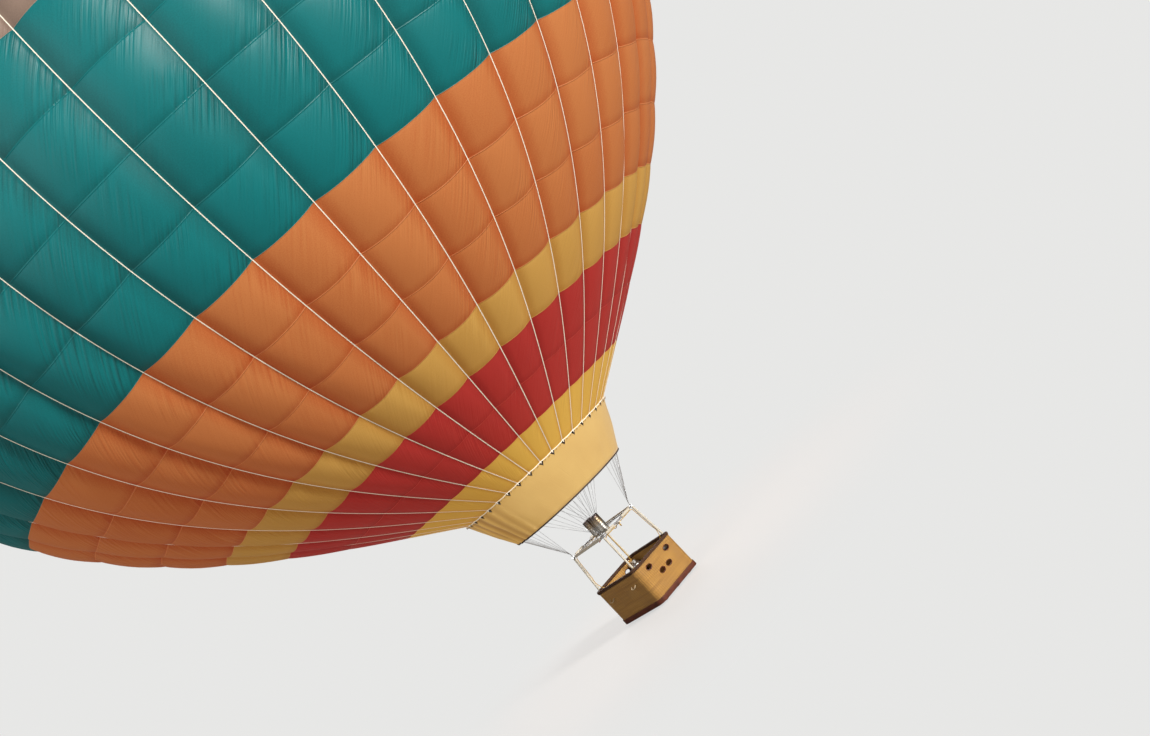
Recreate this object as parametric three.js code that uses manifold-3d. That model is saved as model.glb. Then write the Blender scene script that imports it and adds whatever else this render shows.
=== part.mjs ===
// A hot air balloon with its open wicker basket, hanging upright as it flies. Millimetres, +Z up.
// The origin is on the axis of the envelope, in the middle of its widest circle, where the lift acts.
// The basket's long sides face +Y and -Y.
import * as THREE from "three";
import { mergeVertices } from "three/addons/utils/BufferGeometryUtils.js";
import Module from "manifold-3d";

const wasm = await Module();
wasm.setup();

// Clear gap between pieces that touch.
const GAP = 0.3;

// Envelope: gores of fabric panels sewn side by side, a load tape on each gore seam.
const GORES = 40;
const ROW = 1460; // height of one row of panels, along the tape
const MOUTH_RADIUS = 2362;
const MOUTH_LEAN = THREE.MathUtils.degToRad(56.76); // of a tape at the mouth, from upright
const EQUATOR_ROW = 10.62; // rows from the mouth to the widest circle
const CROWN_FLATNESS = 1.25; // 1 would end the tape as a quarter circle
const FABRIC = 10;
const GORE_BULGE = 0.13; // how far a gore stands out past its two tapes, in gore widths
const VENT_ROW = 20; // the fabric ends here, round the vent

// Colour bands from the mouth up. Steps are the flat facets over a band's height.
const BANDS = [
  { name: "band_lower_gold", from: 0, to: 1, steps: 1, colour: 0xc89a3c },
  { name: "band_lower_red", from: 1, to: 3, steps: 1, colour: 0xa5232d },
  { name: "band_lower_yellow", from: 3, to: 4, steps: 1, colour: 0xc8a550 },
  { name: "band_lower_orange", from: 4, to: 7, steps: 2, colour: 0xc07035 },
  { name: "band_lower_teal", from: 7, to: 11, steps: 3, colour: 0x0a6a6a },
  { name: "band_middle_tan", from: 11, to: 13, steps: 1, colour: 0x968278 },
  { name: "band_upper_teal", from: 13, to: 16, steps: 2, colour: 0x0a6a6a },
  { name: "band_upper_orange", from: 16, to: 18, steps: 1, colour: 0xc07035 },
  { name: "band_upper_yellow", from: 18, to: 19, steps: 1, colour: 0xc8a550 },
  { name: "band_upper_red", from: 19, to: VENT_ROW, steps: 2, colour: 0xa5232d },
];

// Crown and vent. The vent is a loose fabric lid that air presses up against the crown tapes.
const VENT_OVERLAP_ROWS = 0.2; // how far the lid reaches under the fabric
const VENT_DEPTH = 24; // top of the lid, under the tape line
const TAPE_WIDTH = 50;
const TAPE_THICKNESS = 8;
const TAPE_STEPS = 2;
const TAPE_SETBACK = 3; // of a crown tape's end from the fabric's edge
const HUB_RADIUS = 360; // sewn patch where the crown tapes meet
const HUB_HOLE_RADIUS = 120;
const CROWN_RING_RADIUS = 150;
const CROWN_RING_TUBE = 14;

// Mouth: a hem on the last row, and a skirt of heat-proof cloth below it.
const HEM_HEIGHT = 50;
const HEM_WIDTH = 50;
const SKIRT_HEIGHT = 1100;
const SKIRT_HEM_RADIUS = 1750;
const SKIRT_HEM_HEIGHT = 45;

// Load frame over the basket, with the burner in a gimbal inside it. Depths are below the mouth.
const FRAME_DEPTH = 2450;
const FRAME_LENGTH = 1680;
const FRAME_WIDTH = 1280;
const FRAME_TUBE = 40;
const FRAME_CORNER = 90;
const GIMBAL_LENGTH = 1440;
const GIMBAL_WIDTH = 1050;
const GIMBAL_TUBE = 30;
const PIVOT_RADIUS = 11;
const PIVOT_CLEARANCE = 0.6;
const CAN_RADIUS = 140;
const CAN_HEIGHT = 430;
const CAN_WALL = 4;
const CAN_X = 160; // two cans, left and right of the middle
const COIL_RADIUS = 108;
const COIL_TUBE = 10;
const COIL_TURNS = 4;
const COIL_PITCH = 75;
const BLOCK = { length: 640, width: 120, height: 70 };
const WIRE_RADIUS = 4;
const WIRE_SPREAD = 22; // of the wires' ends round the middle of their shackle
const WIRE_FAN = 3; // how many times wider the ends are spread than their tapes
const SHACKLE = { radius: 34, height: 90 };

// Basket: woven wicker walls on a plywood floor, with a padded rim.
const BASKET_DEPTH = 4600;
const BASKET_LENGTH = 2030;
const BASKET_WIDTH = 1590;
const BASKET_CORNER = 200;
const WALL = 45;
const FLOOR = 25;
const WALL_HEIGHT = 995;
const RIM_HEIGHT = 80;
const RIM_OVERHANG = 22;
const TRIM = { height: 130, thickness: 14 };
const RUNNER = { length: 1700, width: 70, height: 40, spacing: 520 };
const UPRIGHT_RADIUS = 30;
const UPRIGHT_INSET = 120; // of its foot from the basket's two sides
const FOOT_HOLE = { width: 200, height: 130 };
// Foot holes in each end wall: place across the wall, and drop below the rim.
const FOOT_HOLES = [
  { across: -380, drop: 250 },
  { across: -140, drop: 550 },
  { across: 140, drop: 550 },
  { across: 380, drop: 250 },
];
const TANK = { radius: 160, height: 890, dome: 70, inset: 235 };
const HANDLE = { half: 95, reach: 70, sag: 48, radius: 12, height: 720, x: 560 };

// Names of the four corners, with the sides of X and Y that they are on.
const CORNERS = [
  { name: "front_right", x: 1, y: -1 },
  { name: "rear_right", x: 1, y: 1 },
  { name: "rear_left", x: -1, y: 1 },
  { name: "front_left", x: -1, y: -1 },
];

// Solids from three.js geometry, joined and cut as manifolds.
function solid(geometry) {
  const bare = geometry.clone();
  bare.deleteAttribute("normal");
  bare.deleteAttribute("uv");
  const merged = mergeVertices(bare, 1e-3);
  return new wasm.Manifold(
    new wasm.Mesh({
      numProp: 3,
      vertProperties: new Float32Array(merged.attributes.position.array),
      triVerts: new Uint32Array(merged.index.array),
    }),
  );
}

function geometryOf(manifold) {
  const mesh = manifold.getMesh();
  const geometry = new THREE.BufferGeometry();
  geometry.setAttribute("position", new THREE.BufferAttribute(mesh.vertProperties, 3));
  geometry.setIndex(new THREE.BufferAttribute(mesh.triVerts, 1));
  return geometry;
}

function join(geometries) {
  return geometryOf(geometries.map(solid).reduce((sum, next) => sum.add(next)));
}

function cut(geometry, tools) {
  return geometryOf(tools.map(solid).reduce((left, tool) => left.subtract(tool), solid(geometry)));
}

function piece(name, geometry, colour, roughness = 0.8, metalness = 0) {
  const material = new THREE.MeshStandardMaterial({ color: colour, roughness, metalness });
  const mesh = new THREE.Mesh(geometry, material);
  mesh.name = name;
  return mesh;
}

function group(...children) {
  const made = new THREE.Group();
  made.add(...children);
  return made;
}

// A box from its two opposite corners.
function boxBetween(low, high) {
  const size = high.map((value, axis) => value - low[axis]);
  const middle = high.map((value, axis) => (value + low[axis]) / 2);
  return new THREE.BoxGeometry(...size).translate(...middle);
}

// A round bar between two points.
function bar(from, to, radius, sides) {
  const start = new THREE.Vector3(...from);
  const along = new THREE.Vector3(...to).sub(start);
  const turn = new THREE.Quaternion().setFromUnitVectors(
    new THREE.Vector3(0, 1, 0),
    along.clone().normalize(),
  );
  return new THREE.CylinderGeometry(radius, radius, along.length(), sides)
    .translate(0, along.length() / 2, 0)
    .applyQuaternion(turn)
    .translate(start.x, start.y, start.z);
}

// A profile of [radius, height] points turned about Z.
function turned(points, segments) {
  return new THREE.LatheGeometry(
    points.map(([radius, height]) => new THREE.Vector2(radius, height)),
    segments,
  ).rotateX(Math.PI / 2);
}

// A rectangle with round corners, as a shape or as a hole.
function roundedRectangle(length, width, corner, target = new THREE.Shape()) {
  const x = length / 2;
  const y = width / 2;
  target.moveTo(-x + corner, -y);
  target.lineTo(x - corner, -y);
  target.absarc(x - corner, -y + corner, corner, -Math.PI / 2, 0);
  target.lineTo(x, y - corner);
  target.absarc(x - corner, y - corner, corner, 0, Math.PI / 2);
  target.lineTo(-x + corner, y);
  target.absarc(-x + corner, y - corner, corner, Math.PI / 2, Math.PI);
  target.lineTo(-x, -y + corner);
  target.absarc(-x + corner, -y + corner, corner, Math.PI, Math.PI * 1.5);
  return target;
}

// A frame or wall that follows a rounded rectangle, standing on height z.
function roundedFrame(length, width, corner, wall, z, height, curveSegments = 3) {
  const shape = roundedRectangle(length, width, corner);
  const inner = Math.max(corner - wall, 1);
  shape.holes.push(
    roundedRectangle(length - 2 * wall, width - 2 * wall, inner, new THREE.Path()),
  );
  return new THREE.ExtrudeGeometry(shape, {
    depth: height,
    bevelEnabled: false,
    curveSegments,
  }).translate(0, 0, z);
}

// The line of a load tape, walked in short steps from the mouth to the crown. Below the widest
// circle its lean eases off with the square of the distance from the mouth, and above it the tape
// leans in, ever less quickly, until it lies flat at the crown.
const WALK = 1 / 64;

function upperLean(share) {
  return (-Math.PI / 2) * (1 - (1 - share) ** CROWN_FLATNESS);
}

function walk(from, rows, lean, start) {
  const path = [start];
  const count = Math.round(rows / WALK);
  for (let i = 0; i < count; i += 1) {
    const angle = lean((i + 0.5) / count);
    const length = (rows / count) * ROW;
    const last = path[i];
    path.push({
      row: last.row + rows / count,
      radius: last.radius + Math.sin(angle) * length,
      height: last.height + Math.cos(angle) * length,
      lean: angle,
    });
  }
  return path;
}

const lowerPath = walk(0, EQUATOR_ROW, (share) => MOUTH_LEAN * (1 - share ** 2), {
  row: 0,
  radius: MOUTH_RADIUS,
  height: 0,
  lean: MOUTH_LEAN,
});
const equator = lowerPath[lowerPath.length - 1];
const flatShare =
  Array.from({ length: 400 }, (_, i) => Math.sin(-upperLean((i + 0.5) / 400))).reduce(
    (sum, value) => sum + value,
  ) / 400;
const upperRows = equator.radius / ROW / flatShare;
const upperPath = walk(EQUATOR_ROW, upperRows, upperLean, equator);
const tapePath = [...lowerPath, ...upperPath.slice(1)];
const MOUTH_Z = -equator.height;
const CROWN_ROW = EQUATOR_ROW + upperRows;

// The walked point at a row, between the two nearest steps.
function walkedAt(row) {
  const next = Math.max(
    1,
    tapePath.findIndex((point) => point.row >= Math.min(row, CROWN_ROW) - 1e-9),
  );
  const [a, b] = [tapePath[next - 1], tapePath[next]];
  const share = (row - a.row) / (b.row - a.row);
  return {
    radius: a.radius + (b.radius - a.radius) * share,
    height: a.height + (b.height - a.height) * share,
    lean: a.lean + (b.lean - a.lean) * share,
  };
}

function leanAt(row) {
  return walkedAt(row).lean;
}

// The point of the tape line at a row, moved in from the fabric's outside by a depth.
function onTape(row, depth = 0) {
  const { radius, height, lean } = walkedAt(row);
  return [radius - Math.cos(lean) * depth, height + Math.sin(lean) * depth + MOUTH_Z];
}

function rowsBetween(from, to, steps) {
  return Array.from({ length: steps + 1 }, (_, i) => from + ((to - from) * i) / steps);
}

// A closed profile: the outside upwards, the inside back down, and the first point again.
function shellProfile(rows, depth, thickness) {
  const outside = rows.map((row) => onTape(row, depth));
  const inside = rows.map((row) => onTape(row, depth + thickness)).reverse();
  return [...outside, ...inside, outside[0]];
}

// Two segments to a gore, with tape points and crest points in turn. A crest stands out from the
// line between its two tapes, square to the fabric, by a share of the gore's width there.
const HALF_GORE = Math.PI / GORES;

function crest([radius, height], lean) {
  const out = GORE_BULGE * 2 * radius * Math.sin(HALF_GORE);
  return [radius * Math.cos(HALF_GORE) + Math.cos(lean) * out, height - Math.sin(lean) * out];
}

// A profile turned about Z with every other section moved to the profile of the crests.
function gored(profile, crests) {
  const geometry = turned(profile, 2 * GORES);
  const position = geometry.attributes.position;
  for (let i = 0; i < position.count; i += 1) {
    const section = Math.floor(i / profile.length);
    const [radius, height] = crests[i % profile.length];
    if (section % 2 === 0) {
      const angle = (section * Math.PI) / GORES - Math.PI / 2;
      position.setXYZ(i, radius * Math.cos(angle), radius * Math.sin(angle), height);
    }
  }
  return geometry;
}

function band({ name, from, to, steps, colour }) {
  const seam = GAP / 2 / ROW;
  const rows = rowsBetween(from + seam, to - seam, steps);
  const profile = shellProfile(rows, 0, FABRIC);
  const leans = [...rows, ...rows.slice().reverse(), rows[0]].map(leanAt);
  const crests = profile.map((point, i) => crest(point, leans[i]));
  return piece(name, gored(profile, crests), colour, 0.55);
}

const envelope = group(...BANDS.map(band));

// Vent lid, the crown tapes over it, and the metal ring that gathers them.
const crownHeight = onTape(CROWN_ROW)[1];
const crownTapeRows = rowsBetween(
  VENT_ROW + TAPE_SETBACK / ROW,
  CROWN_ROW - (HUB_RADIUS * 0.8) / ROW,
  TAPE_STEPS,
);
const ventRows = [VENT_ROW - VENT_OVERLAP_ROWS, ...crownTapeRows, CROWN_ROW];
const ventOutside = ventRows.map((row) => onTape(row, VENT_DEPTH));
const ventInside = ventRows.map((row) => onTape(row, VENT_DEPTH + FABRIC)).reverse();
ventOutside[ventRows.length - 1][0] = 0;
ventInside[0][0] = 0;
const ventLid = piece("vent_lid", turned([...ventInside, ...ventOutside], GORES), 0xc8a550, 0.55);

function crownTape(angle) {
  const profile = shellProfile(crownTapeRows, 0, TAPE_THICKNESS);
  const side = new THREE.Shape(profile.map(([radius, height]) => new THREE.Vector2(radius, height)));
  return new THREE.ExtrudeGeometry(side, { depth: TAPE_WIDTH, bevelEnabled: false })
    .translate(0, 0, -TAPE_WIDTH / 2)
    .rotateX(Math.PI / 2)
    .rotateZ(angle);
}

const tapeAngles = Array.from({ length: GORES }, (_, i) => ((i + 0.5) * 2 * Math.PI) / GORES);
const hub = turned(
  [
    [HUB_HOLE_RADIUS, crownHeight - TAPE_THICKNESS],
    [HUB_RADIUS, crownHeight - TAPE_THICKNESS],
    [HUB_RADIUS, crownHeight + 2],
    [HUB_HOLE_RADIUS, crownHeight + 2],
    [HUB_HOLE_RADIUS, crownHeight - TAPE_THICKNESS],
  ],
  GORES,
);
const crownTapes = piece("crown_tapes", join([hub, ...tapeAngles.map(crownTape)]), 0xe8e4d8, 0.7);
const crownRing = piece(
  "crown_ring",
  new THREE.TorusGeometry(CROWN_RING_RADIUS, CROWN_RING_TUBE, 8, 14).translate(
    0,
    0,
    crownHeight + 2 + GAP + CROWN_RING_TUBE,
  ),
  0xb8bcc0,
  0.3,
  1,
);
const crown = group(ventLid, crownTapes, crownRing);

// A ring of four-sided section: its outer [radius, height] at the top and at the foot, and its width.
function hoop(top, foot, width, segments) {
  const inTop = [top[0] - width, top[1]];
  const inFoot = [foot[0] - width, foot[1]];
  return turned([foot, top, inTop, inFoot, foot], segments);
}

const hemTop = crest([MOUTH_RADIUS, MOUTH_Z], MOUTH_LEAN)[1] - GAP;
const hemFoot = hemTop - HEM_HEIGHT;
const hemOuter = MOUTH_RADIUS + HEM_WIDTH / 4;
const mouthHem = piece(
  "mouth_hem",
  hoop([hemOuter, hemTop], [hemOuter, hemFoot], HEM_WIDTH, GORES).rotateZ(HALF_GORE),
  0xe0cfa0,
  0.7,
);
const skirtTop = hemFoot - GAP;
const skirtFoot = skirtTop - SKIRT_HEIGHT;
const skirt = piece(
  "skirt",
  hoop([hemOuter, skirtTop], [SKIRT_HEM_RADIUS, skirtFoot], FABRIC, GORES),
  0xd8a860,
  0.75,
);
const skirtHem = piece(
  "skirt_hem",
  hoop(
    [SKIRT_HEM_RADIUS + 4, skirtFoot - GAP],
    [SKIRT_HEM_RADIUS - 10, skirtFoot - GAP - SKIRT_HEM_HEIGHT],
    FABRIC + 8,
    GORES,
  ),
  0x3c2d26,
  0.8,
);
const mouth = group(mouthHem, skirt, skirtHem);

// Flying wires: each corner of the load frame gathers the tapes of its quarter in one shackle.
const frameTop = MOUTH_Z - FRAME_DEPTH + FRAME_TUBE / 2;
const frameFoot = frameTop - FRAME_TUBE;
const frameCornerX = (FRAME_LENGTH - FRAME_TUBE) / 2;
const frameCornerY = (FRAME_WIDTH - FRAME_TUBE) / 2;
const WIRE_TOP_RADIUS = MOUTH_RADIUS - 20;

const shackleFoot = [frameCornerX - 10, frameCornerY - 10, frameTop + GAP];
const wireAngles = tapeAngles.slice(0, GORES / 4);

function wire(angle) {
  const place = Math.PI / 4 + WIRE_FAN * (angle - Math.PI / 4);
  const end = [
    shackleFoot[0] + WIRE_SPREAD * Math.cos(place),
    shackleFoot[1] + WIRE_SPREAD * Math.sin(place),
    shackleFoot[2] + SHACKLE.height - 15,
  ];
  const top = [WIRE_TOP_RADIUS * Math.cos(angle), WIRE_TOP_RADIUS * Math.sin(angle), hemFoot + 5];
  return bar(end, top, WIRE_RADIUS, 6);
}

const shackle = bar(
  shackleFoot,
  [shackleFoot[0], shackleFoot[1], shackleFoot[2] + SHACKLE.height],
  SHACKLE.radius,
  12,
);
const hemReach = MOUTH_RADIUS + 100;
const hemSpace = boxBetween([-hemReach, -hemReach, hemFoot - GAP], [hemReach, hemReach, hemTop]);
const wireFan = cut(join([shackle, ...wireAngles.map(wire)]), [hemSpace]);

// A copy of an indexed geometry on the other side of X, Y or both.
function mirrored(geometry, x, y) {
  const copy = geometry.clone().scale(x, y, 1);
  if (x * y < 0) {
    copy.index.array.reverse();
  }
  return copy;
}

const rigging = group(
  ...CORNERS.map(({ name, x, y }) =>
    piece(`flying_wires_${name}`, mirrored(wireFan, x, y), 0x8c9094, 0.35, 1),
  ),
);

// Load frame, gimbal ring and burner block, with pivots along X in the frame and along Y in the ring.
const pivotZ = (frameTop + frameFoot) / 2;
const frameInnerX = FRAME_LENGTH / 2 - FRAME_TUBE;
const gimbalInnerY = GIMBAL_WIDTH / 2 - GIMBAL_TUBE;

function pivotBores(alongX, from, to) {
  return [-1, 1].map((side) => {
    const ends = [from, to].map((value) => value * side);
    const [a, b] = ends.map((value) => (alongX ? [value, 0, pivotZ] : [0, value, pivotZ]));
    return bar(a, b, PIVOT_RADIUS + PIVOT_CLEARANCE, 12);
  });
}

const frameBlank = join([
  roundedFrame(FRAME_LENGTH, FRAME_WIDTH, FRAME_CORNER, FRAME_TUBE, frameFoot, FRAME_TUBE),
  ...CORNERS.map(({ x, y }) =>
    boxBetween(
      [x * frameCornerX - 55, y * frameCornerY - 55, frameFoot],
      [x * frameCornerX + 30, y * frameCornerY + 30, frameTop],
    ).translate(x > 0 ? 0 : 25, y > 0 ? 0 : 25, 0),
  ),
]);
const loadFrame = piece(
  "load_frame",
  cut(frameBlank, pivotBores(true, frameInnerX - 5, FRAME_LENGTH / 2 + 5)),
  0x9a9c9e,
  0.4,
  1,
);

function pivotPins(alongX, from, to) {
  return [-1, 1].map((side) => {
    const [a, b] = [from, to].map((value) =>
      alongX ? [value * side, 0, pivotZ] : [0, value * side, pivotZ],
    );
    return bar(a, b, PIVOT_RADIUS, 12);
  });
}

const gimbalBlank = join([
  roundedFrame(GIMBAL_LENGTH, GIMBAL_WIDTH, FRAME_CORNER, GIMBAL_TUBE, pivotZ - GIMBAL_TUBE / 2, GIMBAL_TUBE),
  ...pivotPins(true, GIMBAL_LENGTH / 2 - 10, FRAME_LENGTH / 2),
]);
const gimbalRing = piece(
  "gimbal_ring",
  cut(gimbalBlank, pivotBores(false, gimbalInnerY - 5, GIMBAL_WIDTH / 2 + 5)),
  0x9a9c9e,
  0.4,
  1,
);

const blockTop = pivotZ + BLOCK.height / 2;
const burnerBlock = piece(
  "burner_block",
  join([
    boxBetween(
      [-BLOCK.length / 2, -BLOCK.width / 2, blockTop - BLOCK.height],
      [BLOCK.length / 2, BLOCK.width / 2, blockTop],
    ),
    ...pivotPins(false, BLOCK.width / 2 - 10, GIMBAL_WIDTH / 2),
    ...[-1, 1].flatMap((side) => [
      bar([side * CAN_X, 0, pivotZ - 130], [side * CAN_X, 0, pivotZ], 38, 12),
      bar([side * CAN_X, 0, pivotZ - 110], [side * CAN_X, -170, pivotZ - 150], 12, 8),
    ]),
  ]),
  0x7a7468,
  0.4,
  1,
);

class CoilCurve extends THREE.Curve {
  constructor(x) {
    super();
    this.x = x;
  }
  getPoint(share, target = new THREE.Vector3()) {
    const angle = share * COIL_TURNS * 2 * Math.PI;
    const height = blockTop + GAP + COIL_TUBE + share * COIL_TURNS * COIL_PITCH;
    return target.set(
      this.x + COIL_RADIUS * Math.cos(angle),
      COIL_RADIUS * Math.sin(angle),
      height,
    );
  }
}

function circleShape(radius, sides) {
  return new THREE.Shape(
    Array.from({ length: sides }, (_, i) => {
      const angle = (i * 2 * Math.PI) / sides;
      return new THREE.Vector2(radius * Math.cos(angle), radius * Math.sin(angle));
    }),
  );
}

function tube(curve, radius, sides, steps) {
  return new THREE.ExtrudeGeometry(circleShape(radius, sides), { extrudePath: curve, steps });
}

const cans = [
  { side: "left", x: -CAN_X },
  { side: "right", x: CAN_X },
].map(({ side, x }) => {
  const foot = blockTop + GAP;
  const shell = hoop([CAN_RADIUS, foot + CAN_HEIGHT], [CAN_RADIUS, foot], CAN_WALL, 20);
  return group(
    piece(`burner_can_${side}`, shell.translate(x, 0, 0), 0xa8a4a0, 0.35, 1),
    piece(`burner_coil_${side}`, tube(new CoilCurve(x), COIL_TUBE, 5, COIL_TURNS * 10), 0x8c8478, 0.4, 1),
  );
});
const burner = group(loadFrame, gimbalRing, burnerBlock, ...cans);

// Basket: floor on three runners, woven walls with foot holes in both ends, rim and bottom trim.
const basketFoot = MOUTH_Z - BASKET_DEPTH;
const wallFoot = basketFoot + FLOOR + GAP;
const wallTop = wallFoot + WALL_HEIGHT;
const rimTop = wallTop + GAP + RIM_HEIGHT;

function footHole({ across, drop }) {
  const oval = new THREE.Shape();
  oval.absellipse(0, 0, FOOT_HOLE.width / 2, FOOT_HOLE.height / 2, 0, 2 * Math.PI);
  return new THREE.ExtrudeGeometry(oval, {
    depth: BASKET_LENGTH + 2 * WALL,
    bevelEnabled: false,
    curveSegments: 6,
  })
    .translate(0, 0, -BASKET_LENGTH / 2 - WALL)
    .rotateX(Math.PI / 2)
    .rotateZ(Math.PI / 2)
    .translate(0, across, rimTop - drop);
}

const basketWalls = piece(
  "basket_walls",
  cut(
    roundedFrame(BASKET_LENGTH, BASKET_WIDTH, BASKET_CORNER, WALL, wallFoot, WALL_HEIGHT),
    FOOT_HOLES.map(footHole),
  ),
  0xb9752c,
  0.8,
);
const basketFloor = piece(
  "basket_floor",
  new THREE.ExtrudeGeometry(roundedRectangle(BASKET_LENGTH, BASKET_WIDTH, BASKET_CORNER), {
    depth: FLOOR,
    bevelEnabled: false,
    curveSegments: 3,
  }).translate(0, 0, basketFoot),
  0x9a7448,
  0.7,
);
const basketRim = piece(
  "basket_rim",
  roundedFrame(
    BASKET_LENGTH + 2 * RIM_OVERHANG,
    BASKET_WIDTH + 2 * RIM_OVERHANG,
    BASKET_CORNER + RIM_OVERHANG,
    WALL + 2 * RIM_OVERHANG,
    wallTop + GAP,
    RIM_HEIGHT,
  ),
  0x4a2f26,
  0.6,
);
const trimOut = TRIM.thickness + GAP;
const basketTrim = piece(
  "basket_trim",
  roundedFrame(
    BASKET_LENGTH + 2 * trimOut,
    BASKET_WIDTH + 2 * trimOut,
    BASKET_CORNER + trimOut,
    TRIM.thickness,
    basketFoot,
    TRIM.height,
  ),
  0x4a2620,
  0.6,
);
const runners = ["front", "middle", "rear"].map((place, i) => {
  const y = (i - 1) * RUNNER.spacing;
  return piece(
    `runner_${place}`,
    boxBetween(
      [-RUNNER.length / 2, y - RUNNER.width / 2, basketFoot - GAP - RUNNER.height],
      [RUNNER.length / 2, y + RUNNER.width / 2, basketFoot - GAP],
    ),
    0x8a6a44,
    0.8,
  );
});

// Padded uprights from the basket's corners to the load frame's.
function upright({ name, x, y }) {
  const foot = [
    x * (BASKET_LENGTH / 2 - UPRIGHT_INSET),
    y * (BASKET_WIDTH / 2 - UPRIGHT_INSET),
    rimTop - 40,
  ];
  const head = [x * (frameCornerX - 10), y * (frameCornerY - 10), frameFoot + 40];
  const reach = BASKET_LENGTH;
  const below = boxBetween([-reach, -reach, rimTop - 200], [reach, reach, rimTop + GAP]);
  const above = boxBetween([-reach, -reach, frameFoot - GAP], [reach, reach, frameFoot + 200]);
  return piece(`upright_${name}`, cut(bar(foot, head, UPRIGHT_RADIUS, 12), [below, above]), 0xd8d2c4, 0.8);
}

// Fuel tanks, one in each corner: domed both ends, with a guard collar round the valve.
function tank({ name, x, y }) {
  const foot = basketFoot + FLOOR + GAP;
  const { radius, height, dome } = TANK;
  const body = turned(
    [
      [0, foot],
      [radius * 0.7, foot],
      [radius, foot + dome],
      [radius, foot + height - dome],
      [radius * 0.7, foot + height - dome * 0.2],
      [0, foot + height],
    ],
    16,
  );
  const collar = hoop(
    [radius * 0.6, foot + height + 60],
    [radius * 0.6, foot + height - dome * 0.4],
    6,
    16,
  );
  return piece(
    `fuel_tank_${name}`,
    join([body, collar]).translate(
      x * (BASKET_LENGTH / 2 - TANK.inset),
      y * (BASKET_WIDTH / 2 - TANK.inset),
      0,
    ),
    0xb4b6b4,
    0.35,
    1,
  );
}

// Rope handles on the long sides, one by each corner. A loop leaves the wall square and sags.
// Its half: place along the loop's half width, and shares of its reach and of its sag.
const HANDLE_HALF = [
  { along: 1, out: 0, down: 0 },
  { along: 1, out: 0.3, down: 0 },
  { along: 0.75, out: 0.9, down: 0.65 },
];

function ropeHandle({ name, x, y }) {
  const wallY = y * (BASKET_WIDTH / 2 + GAP);
  const z = wallFoot + HANDLE.height;
  const place = ({ along, out, down }) =>
    new THREE.Vector3(along * HANDLE.half, wallY + y * out * HANDLE.reach, z - down * HANDLE.sag);
  const path = new THREE.CatmullRomCurve3(
    [
      ...HANDLE_HALF.map(({ along, out, down }) => place({ along: -along, out, down })),
      place({ along: 0, out: 1, down: 1 }),
      ...HANDLE_HALF.slice().reverse().map(place),
    ],
    false,
    "catmullrom",
  );
  return piece(
    `rope_handle_${name}`,
    tube(path, HANDLE.radius, 8, 14).translate(x * HANDLE.x, 0, 0),
    0xc8b48c,
    0.9,
  );
}

const basket = group(
  basketFloor,
  basketWalls,
  basketRim,
  basketTrim,
  ...runners,
  ...CORNERS.map(upright),
  ...CORNERS.map(tank),
  ...CORNERS.map(ropeHandle),
);

export default group(envelope, crown, mouth, rigging, burner, basket);
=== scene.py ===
import math

import bpy
import numpy as np
from mathutils import Matrix, Vector


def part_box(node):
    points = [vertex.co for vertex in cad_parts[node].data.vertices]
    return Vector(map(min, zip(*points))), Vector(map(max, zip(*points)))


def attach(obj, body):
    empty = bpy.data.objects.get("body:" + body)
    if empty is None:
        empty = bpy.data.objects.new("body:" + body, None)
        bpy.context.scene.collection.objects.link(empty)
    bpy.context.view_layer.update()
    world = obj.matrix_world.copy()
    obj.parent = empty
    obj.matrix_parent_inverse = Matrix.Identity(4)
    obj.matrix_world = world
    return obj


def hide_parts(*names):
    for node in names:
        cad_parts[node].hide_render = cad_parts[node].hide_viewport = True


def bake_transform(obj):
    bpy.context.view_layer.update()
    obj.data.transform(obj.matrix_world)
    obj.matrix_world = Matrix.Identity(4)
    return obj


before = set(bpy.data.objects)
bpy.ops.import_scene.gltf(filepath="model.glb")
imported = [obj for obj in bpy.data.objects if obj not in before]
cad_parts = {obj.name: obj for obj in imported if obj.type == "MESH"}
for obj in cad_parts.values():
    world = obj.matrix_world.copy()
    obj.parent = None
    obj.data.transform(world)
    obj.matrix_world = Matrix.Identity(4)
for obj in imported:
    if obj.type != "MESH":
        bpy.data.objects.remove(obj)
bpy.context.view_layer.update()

# Camera. Stands 39 m from the balloon's axis, a little above the mouth, and is rolled until the
# upright balloon leans to the left as it does in the photograph.
CAMERA_PLACE = (32.5485, -21.5380, -10.1275)
CAMERA_FORWARD = (-0.79942, 0.60059, -0.01482)
CAMERA_UP = (0.40515, 0.55716, 0.72487)
CAMERA_LENS = 48.84
CAMERA_SENSOR = 36
CAMERA_REACH = 400

forward = Vector(CAMERA_FORWARD).normalized()
up = Vector(CAMERA_UP).normalized()
right = forward.cross(up).normalized()
up = right.cross(forward)
lens = bpy.data.cameras.new("photo_camera")
lens.sensor_width = CAMERA_SENSOR
lens.lens = CAMERA_LENS
lens.clip_end = CAMERA_REACH
camera = bpy.data.objects.new("photo_camera", lens)
bpy.context.scene.collection.objects.link(camera)
stand = Matrix((right, up, -forward)).transposed().to_4x4()
stand.translation = CAMERA_PLACE
camera.matrix_world = stand
bpy.context.scene.camera = camera

# Fuel hoses. Yellow rubber hoses. One climbs from each tank's valve along its upright to a tee on the
# load frame. From there a short loop crosses to the gimbal ring and a slack arc goes on to the burner.
UP = np.array([0, 0, 1])
SKEW = (0.13, 0.21, 0.97)
CRISP_TURN = math.radians(75)
CORNERS = (("front_right", 1, -1), ("rear_right", 1, 1), ("rear_left", -1, 1), ("front_left", -1, -1))


def unit(vectors):
    """Vectors divided by their own length."""
    return vectors / np.maximum(np.linalg.norm(vectors, axis=-1, keepdims=True), 1e-12)


def over(*values):
    """Values spread over one grid and stacked, as the places of its points."""
    return np.stack(np.broadcast_arrays(*values), axis=-1)


def around(count):
    """Angles evenly spaced round a full turn."""
    return np.arange(count) * 2 * math.pi / count


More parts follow.
